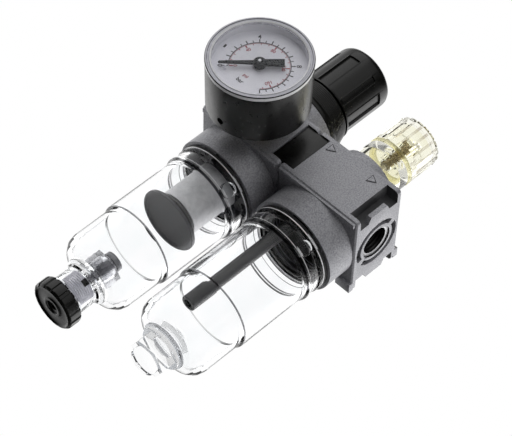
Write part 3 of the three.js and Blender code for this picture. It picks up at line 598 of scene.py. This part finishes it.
# Painted shade for the valleys between the oil knob's ribs.
VALLEY = clear_finish("knob_valley", ((0.42, 0.37, 0.29), (0.8, 0.78, 0.7)), (0.02, 0.08), 1.2)
PALE_BRASS = solid_finish("tinned_brass", (0.62, 0.56, 0.42), (0.85, 0.8, 0.68), (0.3, 0.45), 0.2, 9000, 0.1)
DARK_BRASS = solid_finish(
    "tarnished_brass", (0.1, 0.07, 0.035), (0.5, 0.42, 0.28), (0.3, 0.45), 0.4, 1500, 0.1
)
CLEAR_GREY = clear_finish("smoky_plastic", ((0.5, 0.51, 0.53), (0.72, 0.73, 0.74)), (0.1, 0.2), 1.15, 0.2)
WINDOW = clear_finish("window_acrylic", ((0.96, 0.96, 0.985), (0.99, 0.99, 1.0)), (0.0, 0.01), 1.2, 0.0)
# Painted shade lines for the bowls' collar bevel and shoulder, painted lighter grey where their faces are
# seen from inside.
DARK_SHADE_LINE = clear_finish("shade_line_paint", ((0.03, 0.03, 0.035), (0.08, 0.08, 0.085)), (0.0, 0.02), 1.3)
tinted_inside(DARK_SHADE_LINE, 0.5)
AMBER = clear_finish("amber_band", ((0.8, 0.76, 0.48), (0.9, 0.87, 0.64)), (0.25, 0.35), 1.13)


def cad_finishes():
    """Every CAD node gets its slot's finish, whether or not a piece stands for it later."""
    by_slot = {
        "casting": CASTING, "black_plastic": BLACK, "grey_plastic": GREY, "clear_bowl": CLEAR,
        "clear_amber": CLEAR_YELLOW, "amber": AMBER, "rubber": RUBBER, "steel": STEEL,
        "brass": BRASS, "sinter": SINTER, "dial": DIAL,
    }
    slots = {row["node"]: row["material_slot"] for row in frame["record"]["subparts"]}
    for name, node in frame["nodes"].items():
        node.data.materials.clear()
        node.data.materials.append(by_slot[slots[name]])


cad_finishes()

# ---- the castings and the clamps ----


def carved(piece, cutter, place):
    """Cuts a bmesh in millimetres out of a piece's mesh."""
    placed(cutter, place)
    mesh = bpy.data.meshes.new("cutter")
    cutter.to_mesh(mesh)
    cutter.free()
    tool = bpy.data.objects.new("cutter", mesh)
    bpy.context.scene.collection.objects.link(tool)
    step = piece.modifiers.new("cut", "BOOLEAN")
    step.operation = "DIFFERENCE"
    step.solver = "EXACT"
    step.object = tool
    graph = bpy.context.evaluated_depsgraph_get()
    made = bpy.data.meshes.new_from_object(piece.evaluated_get(graph))
    piece.modifiers.clear()
    old = piece.data
    piece.data = made
    bpy.data.objects.remove(tool)
    bpy.data.meshes.remove(old)
    smooth_shading(made)
    return piece


def port_thread():
    """The V grooves of a thread, as rings, from the port's mouth at z = 0 inwards."""
    line = []
    for turn in range(THREAD_TURNS):
        z = THREAD_START + THREAD_PITCH * turn
        line += [(PORT_MINOR_R, z), (PORT_MAJOR_R, z + THREAD_PITCH * 0.5)]
    line += [
        (PORT_MINOR_R, THREAD_START + THREAD_PITCH * THREAD_TURNS),
        (PORT_CORE_R, THREAD_END),
        (PORT_CORE_R, 0.5),
    ]
    return revolve(line, 48)


def port_mouth():
    """The shallow step round the port, where the fitting's thread runs out."""
    step = [(PORT_CORE_R, -0.5), (MOUTH_R, -0.5), (MOUTH_R, MOUTH_DEPTH), (PORT_CORE_R, MOUTH_DEPTH)]
    return revolve(step, 72)


def dark_bores(piece, end):
    """The port threads are bare metal, painted darker still as painted shade, and so is the wall of the step
    round each mouth; the step's floor gets a painted highlight.
    """
    dark = added_finish(piece, BORE_AND_SHADE)
    bright = added_finish(piece, HIGHLIGHT_PAINT)
    for face in piece.data.polygons:
        x, y, z = (c / MM for c in face.center)
        radius = math.hypot(y - WASHER_AXIS.y, z)
        depth = abs(x - end)
        on_wall = abs(face.normal.x) < 0.5
        if radius > MOUTH_R + PORT_SLACK or depth > MODULE_X:
            continue
        if depth > MOUTH_DEPTH + PORT_SLACK or on_wall:
            face.material_index = dark
        elif depth > MOUTH_DEPTH - PORT_SLACK:
            face.material_index = bright


def shaded_recesses(piece, axis_x):
    """Painted shade: the clamp pockets are painted dark grey inside, all but their rails and the ports, and
    a painted dark line sits in the groove round each arrow.
    """
    dark = added_finish(piece, GREY)
    for face in piece.data.polygons:
        x, y, z = (c / MM for c in face.center)
        depth = y - FRONT_Y
        end = MODULE_X - abs(x - axis_x)
        by_port = math.hypot(y - WASHER_AXIS.y, z) < PORT_FACE_R
        by_arrow = any(
            math.hypot(x - axis_x - offset, z - ARROW_Z) < ARROW_REACH for offset in ARROW_OFFSETS
        )
        on_rail = end < RAIL_REACH and abs(z) < RAIL_HALF_H and depth < RAIL_DEPTH
        in_pocket = END_SKIN < end < POCKET_REACH and abs(z) < POCKET_HALF_H and depth > FACE_SKIN
        in_groove = by_arrow and FACE_SKIN < depth < ARROW_DEPTH
        if in_groove or (in_pocket and not on_rail and not by_port):
            face.material_index = dark


def bare_rim(piece, axis_x):
    """A painted highlight: the edge round the bottom of the neck is painted bright."""
    bright = added_finish(piece, HIGHLIGHT_PAINT)
    low = min(v.co.z for v in piece.data.vertices) / MM
    lowest = []
    for face in piece.data.polygons:
        x, y, z = (c / MM for c in face.center)
        if z < low + RIM_HEIGHT:
            lowest.append((math.hypot(x - axis_x, y - WASHER_AXIS.y), face))
    outer = max(radius for radius, _ in lowest)
    for radius, face in lowest:
        if radius > outer - RIM_HEIGHT:
            face.material_index = bright


def castings():
    regulator = refined("regulator_body", CASTING, "unit", CASTING_BEVEL)
    lubricator = refined("lubricator_body", CASTING, "unit", CASTING_BEVEL)
    for piece, side in ((regulator, -1), (lubricator, 1)):
        end = MODULE_LENGTH * side
        inward = Matrix.Rotation(math.radians(-90 * side), 4, "Y")
        place = Matrix.Translation((end * MM, WASHER_AXIS.y * MM, 0)) @ inward
        carved(piece, port_thread(), place)
        carved(piece, port_mouth(), place)
        dark_bores(piece, end)
        shaded_recesses(piece, MODULE_X * side)
        bare_rim(piece, MODULE_X * side)
    refined("clamp_front", BLACK, "unit")
    refined("clamp_rear", BLACK, "unit")


castings()


# ---- clear bowls ----

# The bands of a bowl's outside that show as lines, painted light: white painted highlights along the
# collar's rims, dark painted shade lines at the collar's lower bevel and the shoulder, and clear bands that
# darken where they turn from the eye. The columns: the finish, z from and to, radius from and to.
BOWL_BANDS = (
    (CLEAR_EDGED, -87.6, -65.4, 4.0, 19.0),
    (CLEAR_EDGED, -32.8, -26.4, 18.15, 19.0),
    (WHITE_AND_HIGHLIGHT, -25.8, -25.0, 17.8, 19.0),
    (WHITE_AND_HIGHLIGHT, -32.35, -31.8, 17.6, 19.0),
    (DARK_SHADE_LINE, -34.0, -33.1, 17.2, 19.0),
    (DARK_SHADE_LINE, -65.4, -64.6, 16.6, 19.0),
)


def bowl(name, place, button_angle, body, node):
    """The clear bowl: a collar with a pushed-out tab and a round release button, and a stepped foot."""
    outside = [
        (16.7, -15.9), (16.7, -25.2), (18.0, -25.2), (18.01, -25.8), (18.0, -27.6), (17.5, -28.0),
        (17.5, -31.9), (18.0, -32.3), (18.0, -33.1), (17.1, -34.0), (17.1, -64.9), (16.3, -66.1),
        (16.2, -82.0), (15.6, -84.4), (13.9, -86.4), (11.2, -87.4), (4.4, -87.5),
    ]
    inside = [
        (4.4, -85.5), (10.6, -85.4), (12.8, -84.3), (14.0, -82.0), (14.4, -79.5), (14.9, -66.3),
        (15.1, -60.0), (15.1, -34.4), (15.5, -33.8), (15.5, -15.9),
    ]
    shell = revolve(rounded(outside + inside, 0.35, True), 128)
    tab = arc_block(17.2, 18.5, button_angle, TAB_WIDTH, -27.6, -25.2, 0.2)
    button = revolve(rounded([(0, 15.6), (3.0, 15.6), (3.0, 18.3), (2.4, 18.6), (0, 18.6)], 0.2), 40)
    turn = Matrix.Rotation(math.radians(button_angle), 4, "Z") @ Matrix.Translation((0, 0, BUTTON_Z))
    bmesh.ops.transform(button, matrix=turn @ Matrix.Rotation(math.pi / 2, 4, "Y"), verts=button.verts)
    made = merged(shell, tab, button)
    piece = finish_mesh(name, made, place, CLEAR, body, (node,))
    return banded(piece, place, BOWL_BANDS)


def rim_seal(name, place, node):
    """The O-ring between a bowl's rim and its casting."""
    section = (polar(SEAL_THICKNESS, angle) for angle in range(0, 360, 30))
    ring = [(SEAL_R + r, SEAL_Z + z) for r, z in section]
    turned(name, ring, place, RUBBER, "unit", (node,), 0)


bowl("filter_bowl_clear", REGULATOR, FILTER_BUTTON_ANGLE, "filter_bowl", "filter_bowl")
bowl("oil_bowl_clear", LUBRICATOR, OIL_BUTTON_ANGLE, "oil_bowl", "lubricator_bowl")
rim_seal("filter_rim_seal", REGULATOR, "filter_bowl_oring")
rim_seal("oil_rim_seal", LUBRICATOR, "lubricator_bowl_oring")


# ---- inside the filter bowl ----


def threaded(radius, depth, low, high, pitch, rows=6):
    """[r, z] rows for a threaded length, and the shape that winds them into a helix."""
    count = max(2, round((high - low) / pitch * rows))
    line = [(radius, low + (high - low) * k / count) for k in range(count + 1)]

    def wound(angle, r, z):
        if not low + CLOSE < z < high - CLOSE or abs(r - radius) > CLOSE:
            return r
        phase = (z / pitch + angle / 360) % 1
        return r - depth * (1 - abs(2 * phase - 1))

    return line, wound


def element():
    tube = [(5.4, -44.3), (9.3, -44.3), (9.3, -23.3), (5.4, -23.3)]
    turned("element", tube, REGULATOR, SINTER, "unit", ("filter_element",), 0.2)


def baffle():
    """The umbrella under the element: a pale floor that faces down, and a cone above it painted black as
    painted shade.
    """
    floor_line = [(0, -48.2), (11.3, -48.2), (12.2, -49.0), (13.1, -49.0), (13.1, -47.9), (0, -47.0)]
    cone_line = [(0, -47.0), (13.0, -47.7), (9.4, -44.6), (3.9, -44.6), (3.9, -46.5), (0, -46.5)]
    turned("baffle_floor", floor_line, REGULATOR, MID_GREY, "unit", (), 0.15)
    turned("baffle_cone", cone_line, REGULATOR, BLACK, "unit", ("baffle",), 0.15)


element()
baffle()
refined("swirl_deflector", GREY, "unit", 0.15)


# ---- manual drain ----


def drain_window():
    """A slot across the drain's stem, where the water runs out."""
    slot = extruded([(1.7, -1.3), (7.0, -1.3), (7.0, 1.3), (1.7, 1.3)], -93.2, -91.0)
    turn = Matrix.Rotation(math.radians(DRAIN_WINDOW_ANGLE), 3, "Z")
    bmesh.ops.rotate(slot, matrix=turn, verts=slot.verts)
    return slot


def drain_core():
    """The threaded stem, with a window whose inside is painted black as painted shade."""
    thread, wound = threaded(DRAIN_THREAD_R, DRAIN_THREAD_DEPTH, -98.8, -91.2, DRAIN_THREAD_PITCH)
    line = [(0, -99.7), (5.4, -99.7), *thread, (5.4, -90.9), (0, -90.9)]
    made = turned("drain_core", line, REGULATOR, FROSTED, "drain_knob", (), 0, shape=wound)
    carved(made, drain_window(), REGULATOR)
    # Painted shade: the window's inside is painted black.
    dark = added_finish(made, BLACK)
    for face in made.data.polygons:
        x, y, z = (c / MM for c in REGULATOR.inverted() @ face.center)
        if math.hypot(x, y) < DRAIN_WINDOW_R and z > DRAIN_WINDOW_Z:
            face.material_index = dark


def drain_fittings():
    """What holds the drain in the bowl's floor: sleeve, flange, nut and valve."""
    sleeve = [
        (6.7, -98.6), (7.8, -98.6), (7.8, -91.4), (8.6, -90.8), (8.6, -89.8), (4.0, -89.8),
        (4.0, -78.0), (2.6, -78.0), (2.6, -90.6), (6.7, -90.6),
    ]
    flange = [(4.3, -89.4), (9.8, -89.4), (9.8, -87.8), (4.3, -87.8)]
    rows = (("drain_sleeve", sleeve, "drain_stem", 0.2), ("drain_flange", flange, "drain_washer", 0.4))
    for name, line, node, soften in rows:
        turned(name, line, REGULATOR, CLEAR_STEM, "filter_bowl", (node,), soften)
    refined("drain_nut", CLOUDY, "filter_bowl", 0.3)
    refined("drain_valve", SMOKE, "drain_valve", 0.15)


def drain_grip():
    """The black knob, with flutes round its rim and a drip nose."""

    def fluted(angle, r, z):
        in_flute = r > DRAIN_FLUTE_LEAST_R and angle % DRAIN_FLUTE_PITCH < DRAIN_FLUTE_WIDTH
        return r - DRAIN_FLUTE_DEPTH if in_flute else r

    line = [
        (1.8, -96.0), (1.8, -104.9), (2.8, -105.1), (3.0, -105.8), (4.2, -105.8), (4.4, -105.3),
        (8.0, -105.3), (8.6, -105.9), (9.1, -105.9), (9.9, -105.0), (9.9, -100.6), (9.3, -99.8),
        (6.4, -99.8), (6.4, -98.8), (5.2, -98.8), (5.2, -96.0),
    ]
    turned("drain_grip", line, REGULATOR, BLACK, "drain_knob", ("drain_knob",), 0.2,
           segments=224, shape=fluted)


drain_core()
drain_fittings()
drain_grip()


# ---- inside the oil bowl ----


def insert_cup():
    """The black insert under the casting: four rings step its bore, and their flats are painted lighter grey
    as painted highlights.
    """
    line = [(14.5, -14.3), (14.5, -25.4), (13.0, -25.4), (13.0, -24.8)]
    for ring in range(4):
        z = -24.4 + 1.7 * ring
        line += [(13.0, z), (12.0, z + 0.5), (12.0, z + 1.0), (13.0, z + 1.4)]
    line += [(13.0, -17.4), (3.0, -17.4), (3.0, -14.3)]
    cup = turned("insert_cup", line, LUBRICATOR, BLACK, "unit", ("oil_insert",), 0.12)
    banded(cup, LUBRICATOR, ((SHADE_AND_HIGHLIGHT_GREY, -25.3, -17.5, 11.0, 12.1),))


def siphon():
    pipe = [(1.4, -68.0), (2.6, -68.0), (2.6, -16.0), (1.4, -16.0)]
    end = [
        (1.9, -73.0), (2.95, -73.0), (3.1, -72.6), (3.1, -61.6), (2.85, -61.2), (2.65, -61.2),
        (2.65, -68.3), (1.9, -68.3),
    ]
    rows = (("siphon_pipe", pipe, "siphon_tube", 0.1), ("siphon_end", end, "siphon_tip", 0.12))
    for name, line, node, soften in rows:
        turned(name, line, SIPHON, SIPHON_BLACK, "unit", (node,), soften, segments=48)


def fill_plug():
    """The clear plug in the oil bowl's floor, with its washer and a hexagon for the spanner."""
    seal = [(4.6, -89.0), (9.8, -89.0), (9.8, -87.8), (4.6, -87.8)]
    turned("plug_seal", seal, LUBRICATOR, CLEAR_GREY, "oil_bowl", ("plug_washer",), 0.4)

    def hexagon(angle, r, z):
        if r < HEX_LEAST_R or not HEX_LOW < z < HEX_HIGH:
            return r
        off_flat = angle % HEX_SIDE - HEX_SIDE / 2
        return r * math.cos(math.radians(HEX_SIDE / 2)) / math.cos(math.radians(off_flat))

    line = [
        (0, -83.0), (6.6, -83.0), (6.6, -85.2), (4.1, -85.2), (4.1, -89.3), (9.0, -89.3), (9.0, -90.4),
        (8.0, -90.6), (8.0, -96.5), (5.6, -96.6), (5.6, -98.8), (4.9, -99.4), (0, -99.4),
    ]
    turned("fill_plug_clear", line, LUBRICATOR, CLEAR_PLUG, "plug", ("fill_plug",), 0.3,
           segments=144, shape=hexagon)


insert_cup()
siphon()
fill_plug()


# ---- gauge ----


def lettering(text, size, angle, radius, upright_text=False):
    """Flat letters standing on the dial at an angle and radius."""
    curve = bpy.data.curves.new("letters", "FONT")
    curve.body = text
    curve.size = size
    curve.align_x = "CENTER"
    curve.align_y = "CENTER"
    curve.extrude = 0.02
    curve.offset = 0.03
    holder = bpy.data.objects.new("letters", curve)
    bpy.context.scene.collection.objects.link(holder)
    graph = bpy.context.evaluated_depsgraph_get()
    mesh = bpy.data.meshes.new_from_object(holder.evaluated_get(graph))
    bm = bmesh.new()
    bm.from_mesh(mesh)
    bpy.data.objects.remove(holder)
    bpy.data.curves.remove(curve)
    bpy.data.meshes.remove(mesh)
    x, y = polar(radius, angle)
    spin = 0 if upright_text else angle - 90
    move = Matrix.Translation((x, y, LETTER_Z)) @ Matrix.Rotation(math.radians(spin), 4, "Z")
    bmesh.ops.transform(bm, matrix=move, verts=bm.verts)
    return bm


def tick(angle, inner, outer, width):
    half = math.degrees(width / 2 / ((inner + outer) / 2))
    corners = [
        polar(inner, angle - half), polar(outer, angle - half),
        polar(outer, angle + half), polar(inner, angle + half),
    ]
    return extruded(corners, INK_LOW, INK_HIGH)


def bar_scale():
    """The outer scale: a tick each half bar, figures each four, and a small block outside the scale."""
    marks = [arc_block(11.1, 11.4, 90, SCALE_SWEEP, INK_LOW, INK_HIGH)]
    for step in range(HALF_BAR_STEPS + 1):
        angle = ZERO_ANGLE - BAR_ANGLE * step / 2
        whole = step % 2 == 0
        marks.append(tick(angle, 11.3, 12.9 if whole else 12.4, 0.4 if whole else 0.3))
    for value in BAR_LABELS:
        marks.append(lettering(str(value), 2.6, ZERO_ANGLE - BAR_ANGLE * value, BAR_LABEL_R))
    marks.append(lettering("bar", 2.3, 270, 9.9, True))
    marks.append(tick(188, 15.2, 16.0, 1.6))
    finish_mesh("dial_black_print", merged(*marks), GAUGE, INK, "unit")


def psi_scale():
    """The inner scale, in red: a tick each ten, a longer one and figures each forty."""
    marks = [arc_block(10.8, 10.95, 90, SCALE_SWEEP, INK_LOW, INK_HIGH)]
    for psi in range(0, PSI_END, 10):
        angle = ZERO_ANGLE - BAR_ANGLE * psi / PSI_PER_BAR
        labelled = psi in PSI_LABELS
        marks.append(tick(angle, 9.5 if labelled else 10.1, 10.9, 0.5 if labelled else 0.25))
    for psi in PSI_LABELS:
        marks.append(lettering(str(psi), 1.9, ZERO_ANGLE - BAR_ANGLE * psi / PSI_PER_BAR, PSI_LABEL_R))
    marks.append(lettering("psi", 1.9, 270, 6.9, True))
    finish_mesh("dial_red_print", merged(*marks), GAUGE, RED_INK, "unit")


def gauge_cup():
    """The black case, with a small hole in its lower side."""
    line = [
        (4.7, 10.9), (19.3, 10.9), (19.7, 11.3), (20.0, 32.7), (18.0, 32.7), (18.0, 12.7), (4.7, 12.7),
    ]
    case = turned("gauge_cup", line, GAUGE, BLACK, "unit", ("gauge_case",), 0.25,
                  segments=144)
    hole = revolve([(0, -22), (CASE_HOLE_R, -22), (CASE_HOLE_R, -10), (0, -10)], 32)
    at = (GAUGE_AXIS.x * MM, (FRONT_Y - CASE_HOLE_OUT) * MM, GAUGE_AXIS.z * MM)
    carved(case, hole, Matrix.Translation(at))


def dial_and_window():
    dial = [(1.2, 29.3), (17.9, 29.3), (17.9, 33.0), (17.6, 33.0), (17.35, DIAL_Z), (1.2, DIAL_Z)]
    turned("dial_cup", dial, GAUGE, DIAL, "unit", ("gauge_dial",), 0.08, segments=128)
    pane = [(0, 33.4), (17.6, 33.4), (17.6, 34.2), (0, 34.2)]
    turned("window_clear", pane, GAUGE, WINDOW, "unit", ("gauge_window",), 0.1, segments=144)
    rim = [
        (17.65, 33.0), (20.1, 33.0), (20.1, 34.45), (19.8, 34.8), (19.3, 34.8), (19.1, 34.5), (18.5, 34.5),
        (18.3, 34.8), (17.65, 34.4),
    ]
    bezel = turned("window_rim", rim, GAUGE, LILAC, "unit", (), 0.05, segments=144)
    # Painted light on the rim: white painted highlights on its outer wall and inner lip, and painted shade
    # in black on the outer chamfer and in dark grey in the groove.
    banded(bezel, GAUGE, (
        (WHITE_AND_HIGHLIGHT, 33.1, 34.4, 20.0, 20.2),
        (BLACK, 34.46, 34.78, 19.8, 20.2),
        (SHADE_AND_HIGHLIGHT_GREY, 34.52, 34.79, 19.1, 19.3),
        (WHITE_AND_HIGHLIGHT, 34.3, 34.78, 17.6, 18.3),
    ))


def pointer():
    """The hand at zero: a tapered blade, a broad tail and a hub, with a bright pin in the middle."""
    spin = GAUGE @ Matrix.Rotation(math.radians(ZERO_ANGLE), 4, "Z")
    blade = extruded([(0, -1.0), (14.6, -0.45), (15.0, 0), (14.6, 0.45), (0, 1.0)], 31.3, 31.9, 0.08)
    tail = extruded([(-9.0, -1.6), (0, -1.3), (0, 1.3), (-9.0, 1.6)], 31.1, 32.1, 0.15)
    hub = revolve(rounded([(0, 30.3), (2.4, 30.3), (2.4, 32.1), (1.8, 32.7), (0, 32.8)], 0.25), 48)
    hand = merged(blade, tail, hub)
    finish_mesh("pointer_hand", hand, spin, POINTER, "pointer", ("gauge_pointer",))
    pin = [(0, 32.7), (0.6, 32.7), (0.55, 33.0), (0, 33.15)]
    turned("pointer_pin", pin, GAUGE, WHITE_AND_HIGHLIGHT, "pointer", (), 0, segments=24)


gauge_cup()
dial_and_window()
bar_scale()
psi_scale()
pointer()
refined("stop_pin", DIAL, "unit", 0.08)
refined("gauge_stem", BRASS, "unit", 0.2)


# ---- bonnet and adjusting knob ----


def bonnet():
    """The black cone over the diaphragm, ridged for grip, and the neck that the knob turns on."""
    ridges = []
    for k in range(RIDGES):
        z = RIDGE_START_Z + RIDGE_PITCH * k
        r = CONE_R - (z - CONE_Z) * CONE_SLOPE
        ridges += [(r, z), (r, z + 0.45), (r - RIDGE_DEPTH, z + 0.5), (r - RIDGE_DEPTH, z + 0.85)]
    line = [
        (13.2, 20.6), (18.0, 20.6), (17.8, 22.2), *ridges, (13.9, 32.0), (11.0, 32.1), (11.0, 50.9),
        (2.7, 50.9), (2.7, 46.9), (9.2, 46.9), (9.2, 22.9), (13.2, 22.9),
    ]
    turned("bonnet_shell", line, REGULATOR, BLACK, "unit", ("bonnet",), 0.15,
           segments=128)


def from_grip(angle, first):
    """How far an angle is from the middle of the nearest grip, in degrees."""
    turn = (angle + first) % GRIP_TURN
    return min(turn, GRIP_TURN - turn)


def knob():
    """The adjusting knob: wide and narrow grips sunk in its side, each inside a raised border."""

    def grips(angle, r, z):
        if r < GRIP_LEAST_R or not GRIP_LOW < z < GRIP_HIGH:
            return r
        rows = [(from_grip(angle, first), half, depth) for first, half, depth in (WIDE_GRIP, NARROW_GRIP)]
        for away, half, depth in rows:
            if away < half:
                return r - depth
        if any(away < half + GRIP_BORDER_WIDTH for away, half, _ in rows):
            return r + GRIP_BORDER_HEIGHT
        return r

    heights = [GRIP_ROWS_LOW + GRIP_ROWS_HEIGHT * k / GRIP_ROWS for k in range(GRIP_ROWS + 1)]
    wall = [(KNOB_R, z) for z in heights]
    line = [
        (0, 54.0), (11.4, 54.0), (11.4, 32.6), (14.2, 32.6), (14.1, 33.3), (KNOB_R, 32.9), *wall,
        (KNOB_R, 52.0), (KNOB_R, 55.2), (13.1, 56.2), (12.6, 57.1), (11.7, 57.8), (10.6, 58.1),
        (6.0, 58.2), (0, 58.2),
    ]
    turned("knob_cap", line, REGULATOR, BLACK, "knob", ("adjusting_knob",), 0,
           segments=360, shape=grips)


bonnet()
knob()


# ---- sight dome and oil knob ----


def dome():
    """The clear dome that the oil drips in, and the amber band between it and the knob."""
    glass = [
        (8.6, 14.8), (10.9, 14.8), (10.9, 16.6), (10.6, 17.0), (10.5, 27.1), (2.4, 27.1), (2.4, 25.4),
        (7.2, 25.2), (8.6, 24.0),
    ]
    turned("dome_clear", glass, DOME, CLEAR_YELLOW, "unit", ("sight_dome",), 0.4)
    band = [(7.4, 27.4), (10.6, 27.4), (10.6, 29.0), (7.4, 29.0)]
    turned("dome_band", band, DOME, AMBER, "unit", ("dome_ring",), 0.25)


def oil_knob():
    """The clear knob: rounded ribs round its side, with painted shade in the valleys between them."""

    def ribs(angle, r, z):
        if r < RIB_LEAST_R or z < RIB_LOW:
            return r
        phase = (angle % RIB_PITCH) / RIB_PITCH
        return r - RIB_DEPTH * (0.5 + 0.5 * math.cos(2 * math.pi * phase)) ** 2

    side = [(OIL_KNOB_R, 31.5), (OIL_KNOB_R, 32.1), *[(OIL_KNOB_R, 33 + k) for k in range(11)]]
    line = [
        (2.3, OIL_KNOB_LOW), (3.6, OIL_KNOB_LOW), (3.6, 41.6), (8.6, 41.6), (8.6, OIL_KNOB_LOW),
        (OIL_KNOB_R, OIL_KNOB_LOW), *side, (10.4, 44.0), (9.8, 44.4), (8.0, 44.4), (7.4, 43.4),
        (3.0, 43.4), (2.3, 42.9),
    ]
    made = turned("oil_knob_clear", line, DOME, CLEAR_YELLOW, "oil_knob", ("oil_knob",), 0,
                  segments=216, shape=ribs)
    banded(made, DOME, ((VALLEY, 32.5, 43.2, 9.7, 10.12),))


def metering_screw():
    screw = refined("metering_screw", PALE_BRASS, "oil_knob", 0.1)
    banded(screw, DOME, ((DARK_BRASS, 31, 44, 0, 6),))


dome()
oil_knob()
metering_screw()
refined("drip_tube", CLEAR_YELLOW, "unit", 0.15)


# ---- what gives way when the pressure is set ----


def flexing_parts():
    """The springs and the diaphragm, each as a piece with a mesh of its own. The table lists what their nut
    or plate travels, which in the real unit shortens the springs and sags the diaphragm; it is not applied.
    """
    rows = (
        ("control_spring", STEEL, "steel", "nut_travel", NUT_TRAVEL),
        ("valve_spring", STEEL, "steel", "plate_travel", PLATE_TRAVEL),
        ("diaphragm", RUBBER, "rubber", "plate_travel", DIAPHRAGM_TRAVEL),
    )
    for node, finish, slot, joint, travel in rows:
        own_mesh(refined(node, finish, "unit", 0))


flexing_parts()


# ---- stage, light and camera ----

CAMERA_AT_M = (0.3349, -0.6223, -0.3746)
CAMERA_AZIMUTH = 28.972  # from -Y towards +X
CAMERA_ELEVATION = -26.981  # the camera looks up at the unit
CAMERA_ROLL = 52.8
CAMERA_LENS = 146.47
SENSOR = 36
CLIP_M = (0.05, 20)

# The light tent. Each light is a soft round patch of the sky: its direction as seen from the camera
# (right, up, away), the cosine where it starts, the cosine where it is full, and its brightness.
CAMERA_RIGHT = (0.704, -0.023, 0.71)
CAMERA_UP = (-0.564, -0.626, 0.539)
CAMERA_AWAY = (-0.432, 0.78, 0.454)
LIGHTS = (
    ((0, 0, 1), 0.6, 0.85, 1.0),
    ((-0.6, 0.6, 0.5), 0.78, 0.96, 1.1),
    ((-0.87, 0, 0.5), 0.78, 0.96, 1.2),
    ((0.6, -0.6, 0.5), 0.78, 0.96, 2.0),
    ((0, 1, -0.1), 0.78, 0.96, 1.55),
    ((0.7, -0.7, 0), 0.8, 0.96, 0.9),
    ((0.5, 0.5, -0.7), 0.78, 0.96, 0.85),
    ((0.5, -0.5, -0.7), 0.78, 0.96, 0.6),
)
ROOM_LIGHT = 0.012

FLOOR_AT_M = -0.9
FLOOR_SIZE_M = 12
CLEAR_BOUNCES = 20


def camera():
    a, e = math.radians(CAMERA_AZIMUTH), math.radians(CAMERA_ELEVATION)
    back = Vector((math.sin(a) * math.cos(e), -math.cos(a) * math.cos(e), math.sin(e)))
    made = bpy.data.cameras.new("camera")
    made.lens = CAMERA_LENS
    made.sensor_width = SENSOR
    made.clip_start = CLIP_M[0]
    made.clip_end = CLIP_M[1]
    holder = bpy.data.objects.new("camera", made)
    level = (-back).to_track_quat("-Z", "Y")
    holder.matrix_world = (
        Matrix.Translation(CAMERA_AT_M)
        @ level.to_matrix().to_4x4()
        @ Matrix.Rotation(math.radians(CAMERA_ROLL), 4, "Z")
    )
    bpy.context.scene.collection.objects.link(holder)
    bpy.context.scene.camera = holder


camera()


def smooth_step(nodes, links, source, low, high, top):
    """A number that rises smoothly from 0 to top as the source goes from low to high."""
    step = nodes.new("ShaderNodeMapRange")
    step.interpolation_type = "SMOOTHSTEP"
    step.inputs["From Min"].default_value = low
    step.inputs["From Max"].default_value = high
    step.inputs["To Max"].default_value = top
    links.new(source, step.inputs["Value"])
    return step.outputs["Result"]


def world():
    """A light tent of soft patches, over a dim room.

    What is seen directly is plain white, and only what lights and reflects in the unit varies.
    """
    made = bpy.data.worlds.new("studio")
    made.use_nodes = True
    bpy.context.scene.world = made
    nodes, links = made.node_tree.nodes, made.node_tree.links
    coordinate = nodes.new("ShaderNodeTexCoord")
    room = nodes.new("ShaderNodeValue")
    room.outputs[0].default_value = ROOM_LIGHT
    total = room.outputs[0]
    for seen, start, full, brightness in LIGHTS:
        right, up, away = (Vector(axis) for axis in (CAMERA_RIGHT, CAMERA_UP, CAMERA_AWAY))
        direction = (right * seen[0] + up * seen[1] + away * seen[2]).normalized()
        dot = nodes.new("ShaderNodeVectorMath")
        dot.operation = "DOT_PRODUCT"
        dot.inputs[1].default_value = direction
        links.new(coordinate.outputs["Generated"], dot.inputs[0])
        patch = smooth_step(nodes, links, dot.outputs["Value"], start, full, brightness)
        add = nodes.new("ShaderNodeMath")
        add.operation = "ADD"
        links.new(patch, add.inputs[0])
        links.new(total, add.inputs[1])
        total = add.outputs[0]
    path = nodes.new("ShaderNodeLightPath")
    pick = nodes.new("ShaderNodeMix")
    links.new(path.outputs["Is Camera Ray"], pick.inputs["Factor"])
    links.new(total, pick.inputs["A"])
    pick.inputs["B"].default_value = 1.0
    nodes["Background"].inputs["Color"].default_value = (1, 1, 1, 1)
    links.new(pick.outputs["Result"], nodes["Background"].inputs["Strength"])


world()


def floor():
    bm = bmesh.new()
    bmesh.ops.create_grid(bm, x_segments=1, y_segments=1, size=FLOOR_SIZE_M / 2)
    bmesh.ops.translate(bm, vec=(0, 0, FLOOR_AT_M), verts=bm.verts)
    mesh = bpy.data.meshes.new("floor")
    bm.to_mesh(mesh)
    bm.free()
    made = bpy.data.objects.new("floor", mesh)
    mesh.materials.append(
        solid_finish("floor_paint", (0.86, 0.86, 0.86), (0.9, 0.9, 0.9), (0.6, 0.7), 0, 300, 0.05, 4)
    )
    bpy.context.scene.collection.objects.link(made)
    # In a light tent the ground is far off and dark, so the floor lends the unit no light of its own.
    made.visible_diffuse = False
    made.visible_glossy = False


floor()


def many_clear_walls():
    """Clear walls stand one behind another, so light needs many bounces to come through them all."""
    scene = bpy.context.scene
    scene.view_settings.view_transform = "Standard"
    scene.cycles.max_bounces = CLEAR_BOUNCES
    scene.cycles.transmission_bounces = CLEAR_BOUNCES
    scene.cycles.transparent_max_bounces = CLEAR_BOUNCES + 4


many_clear_walls()
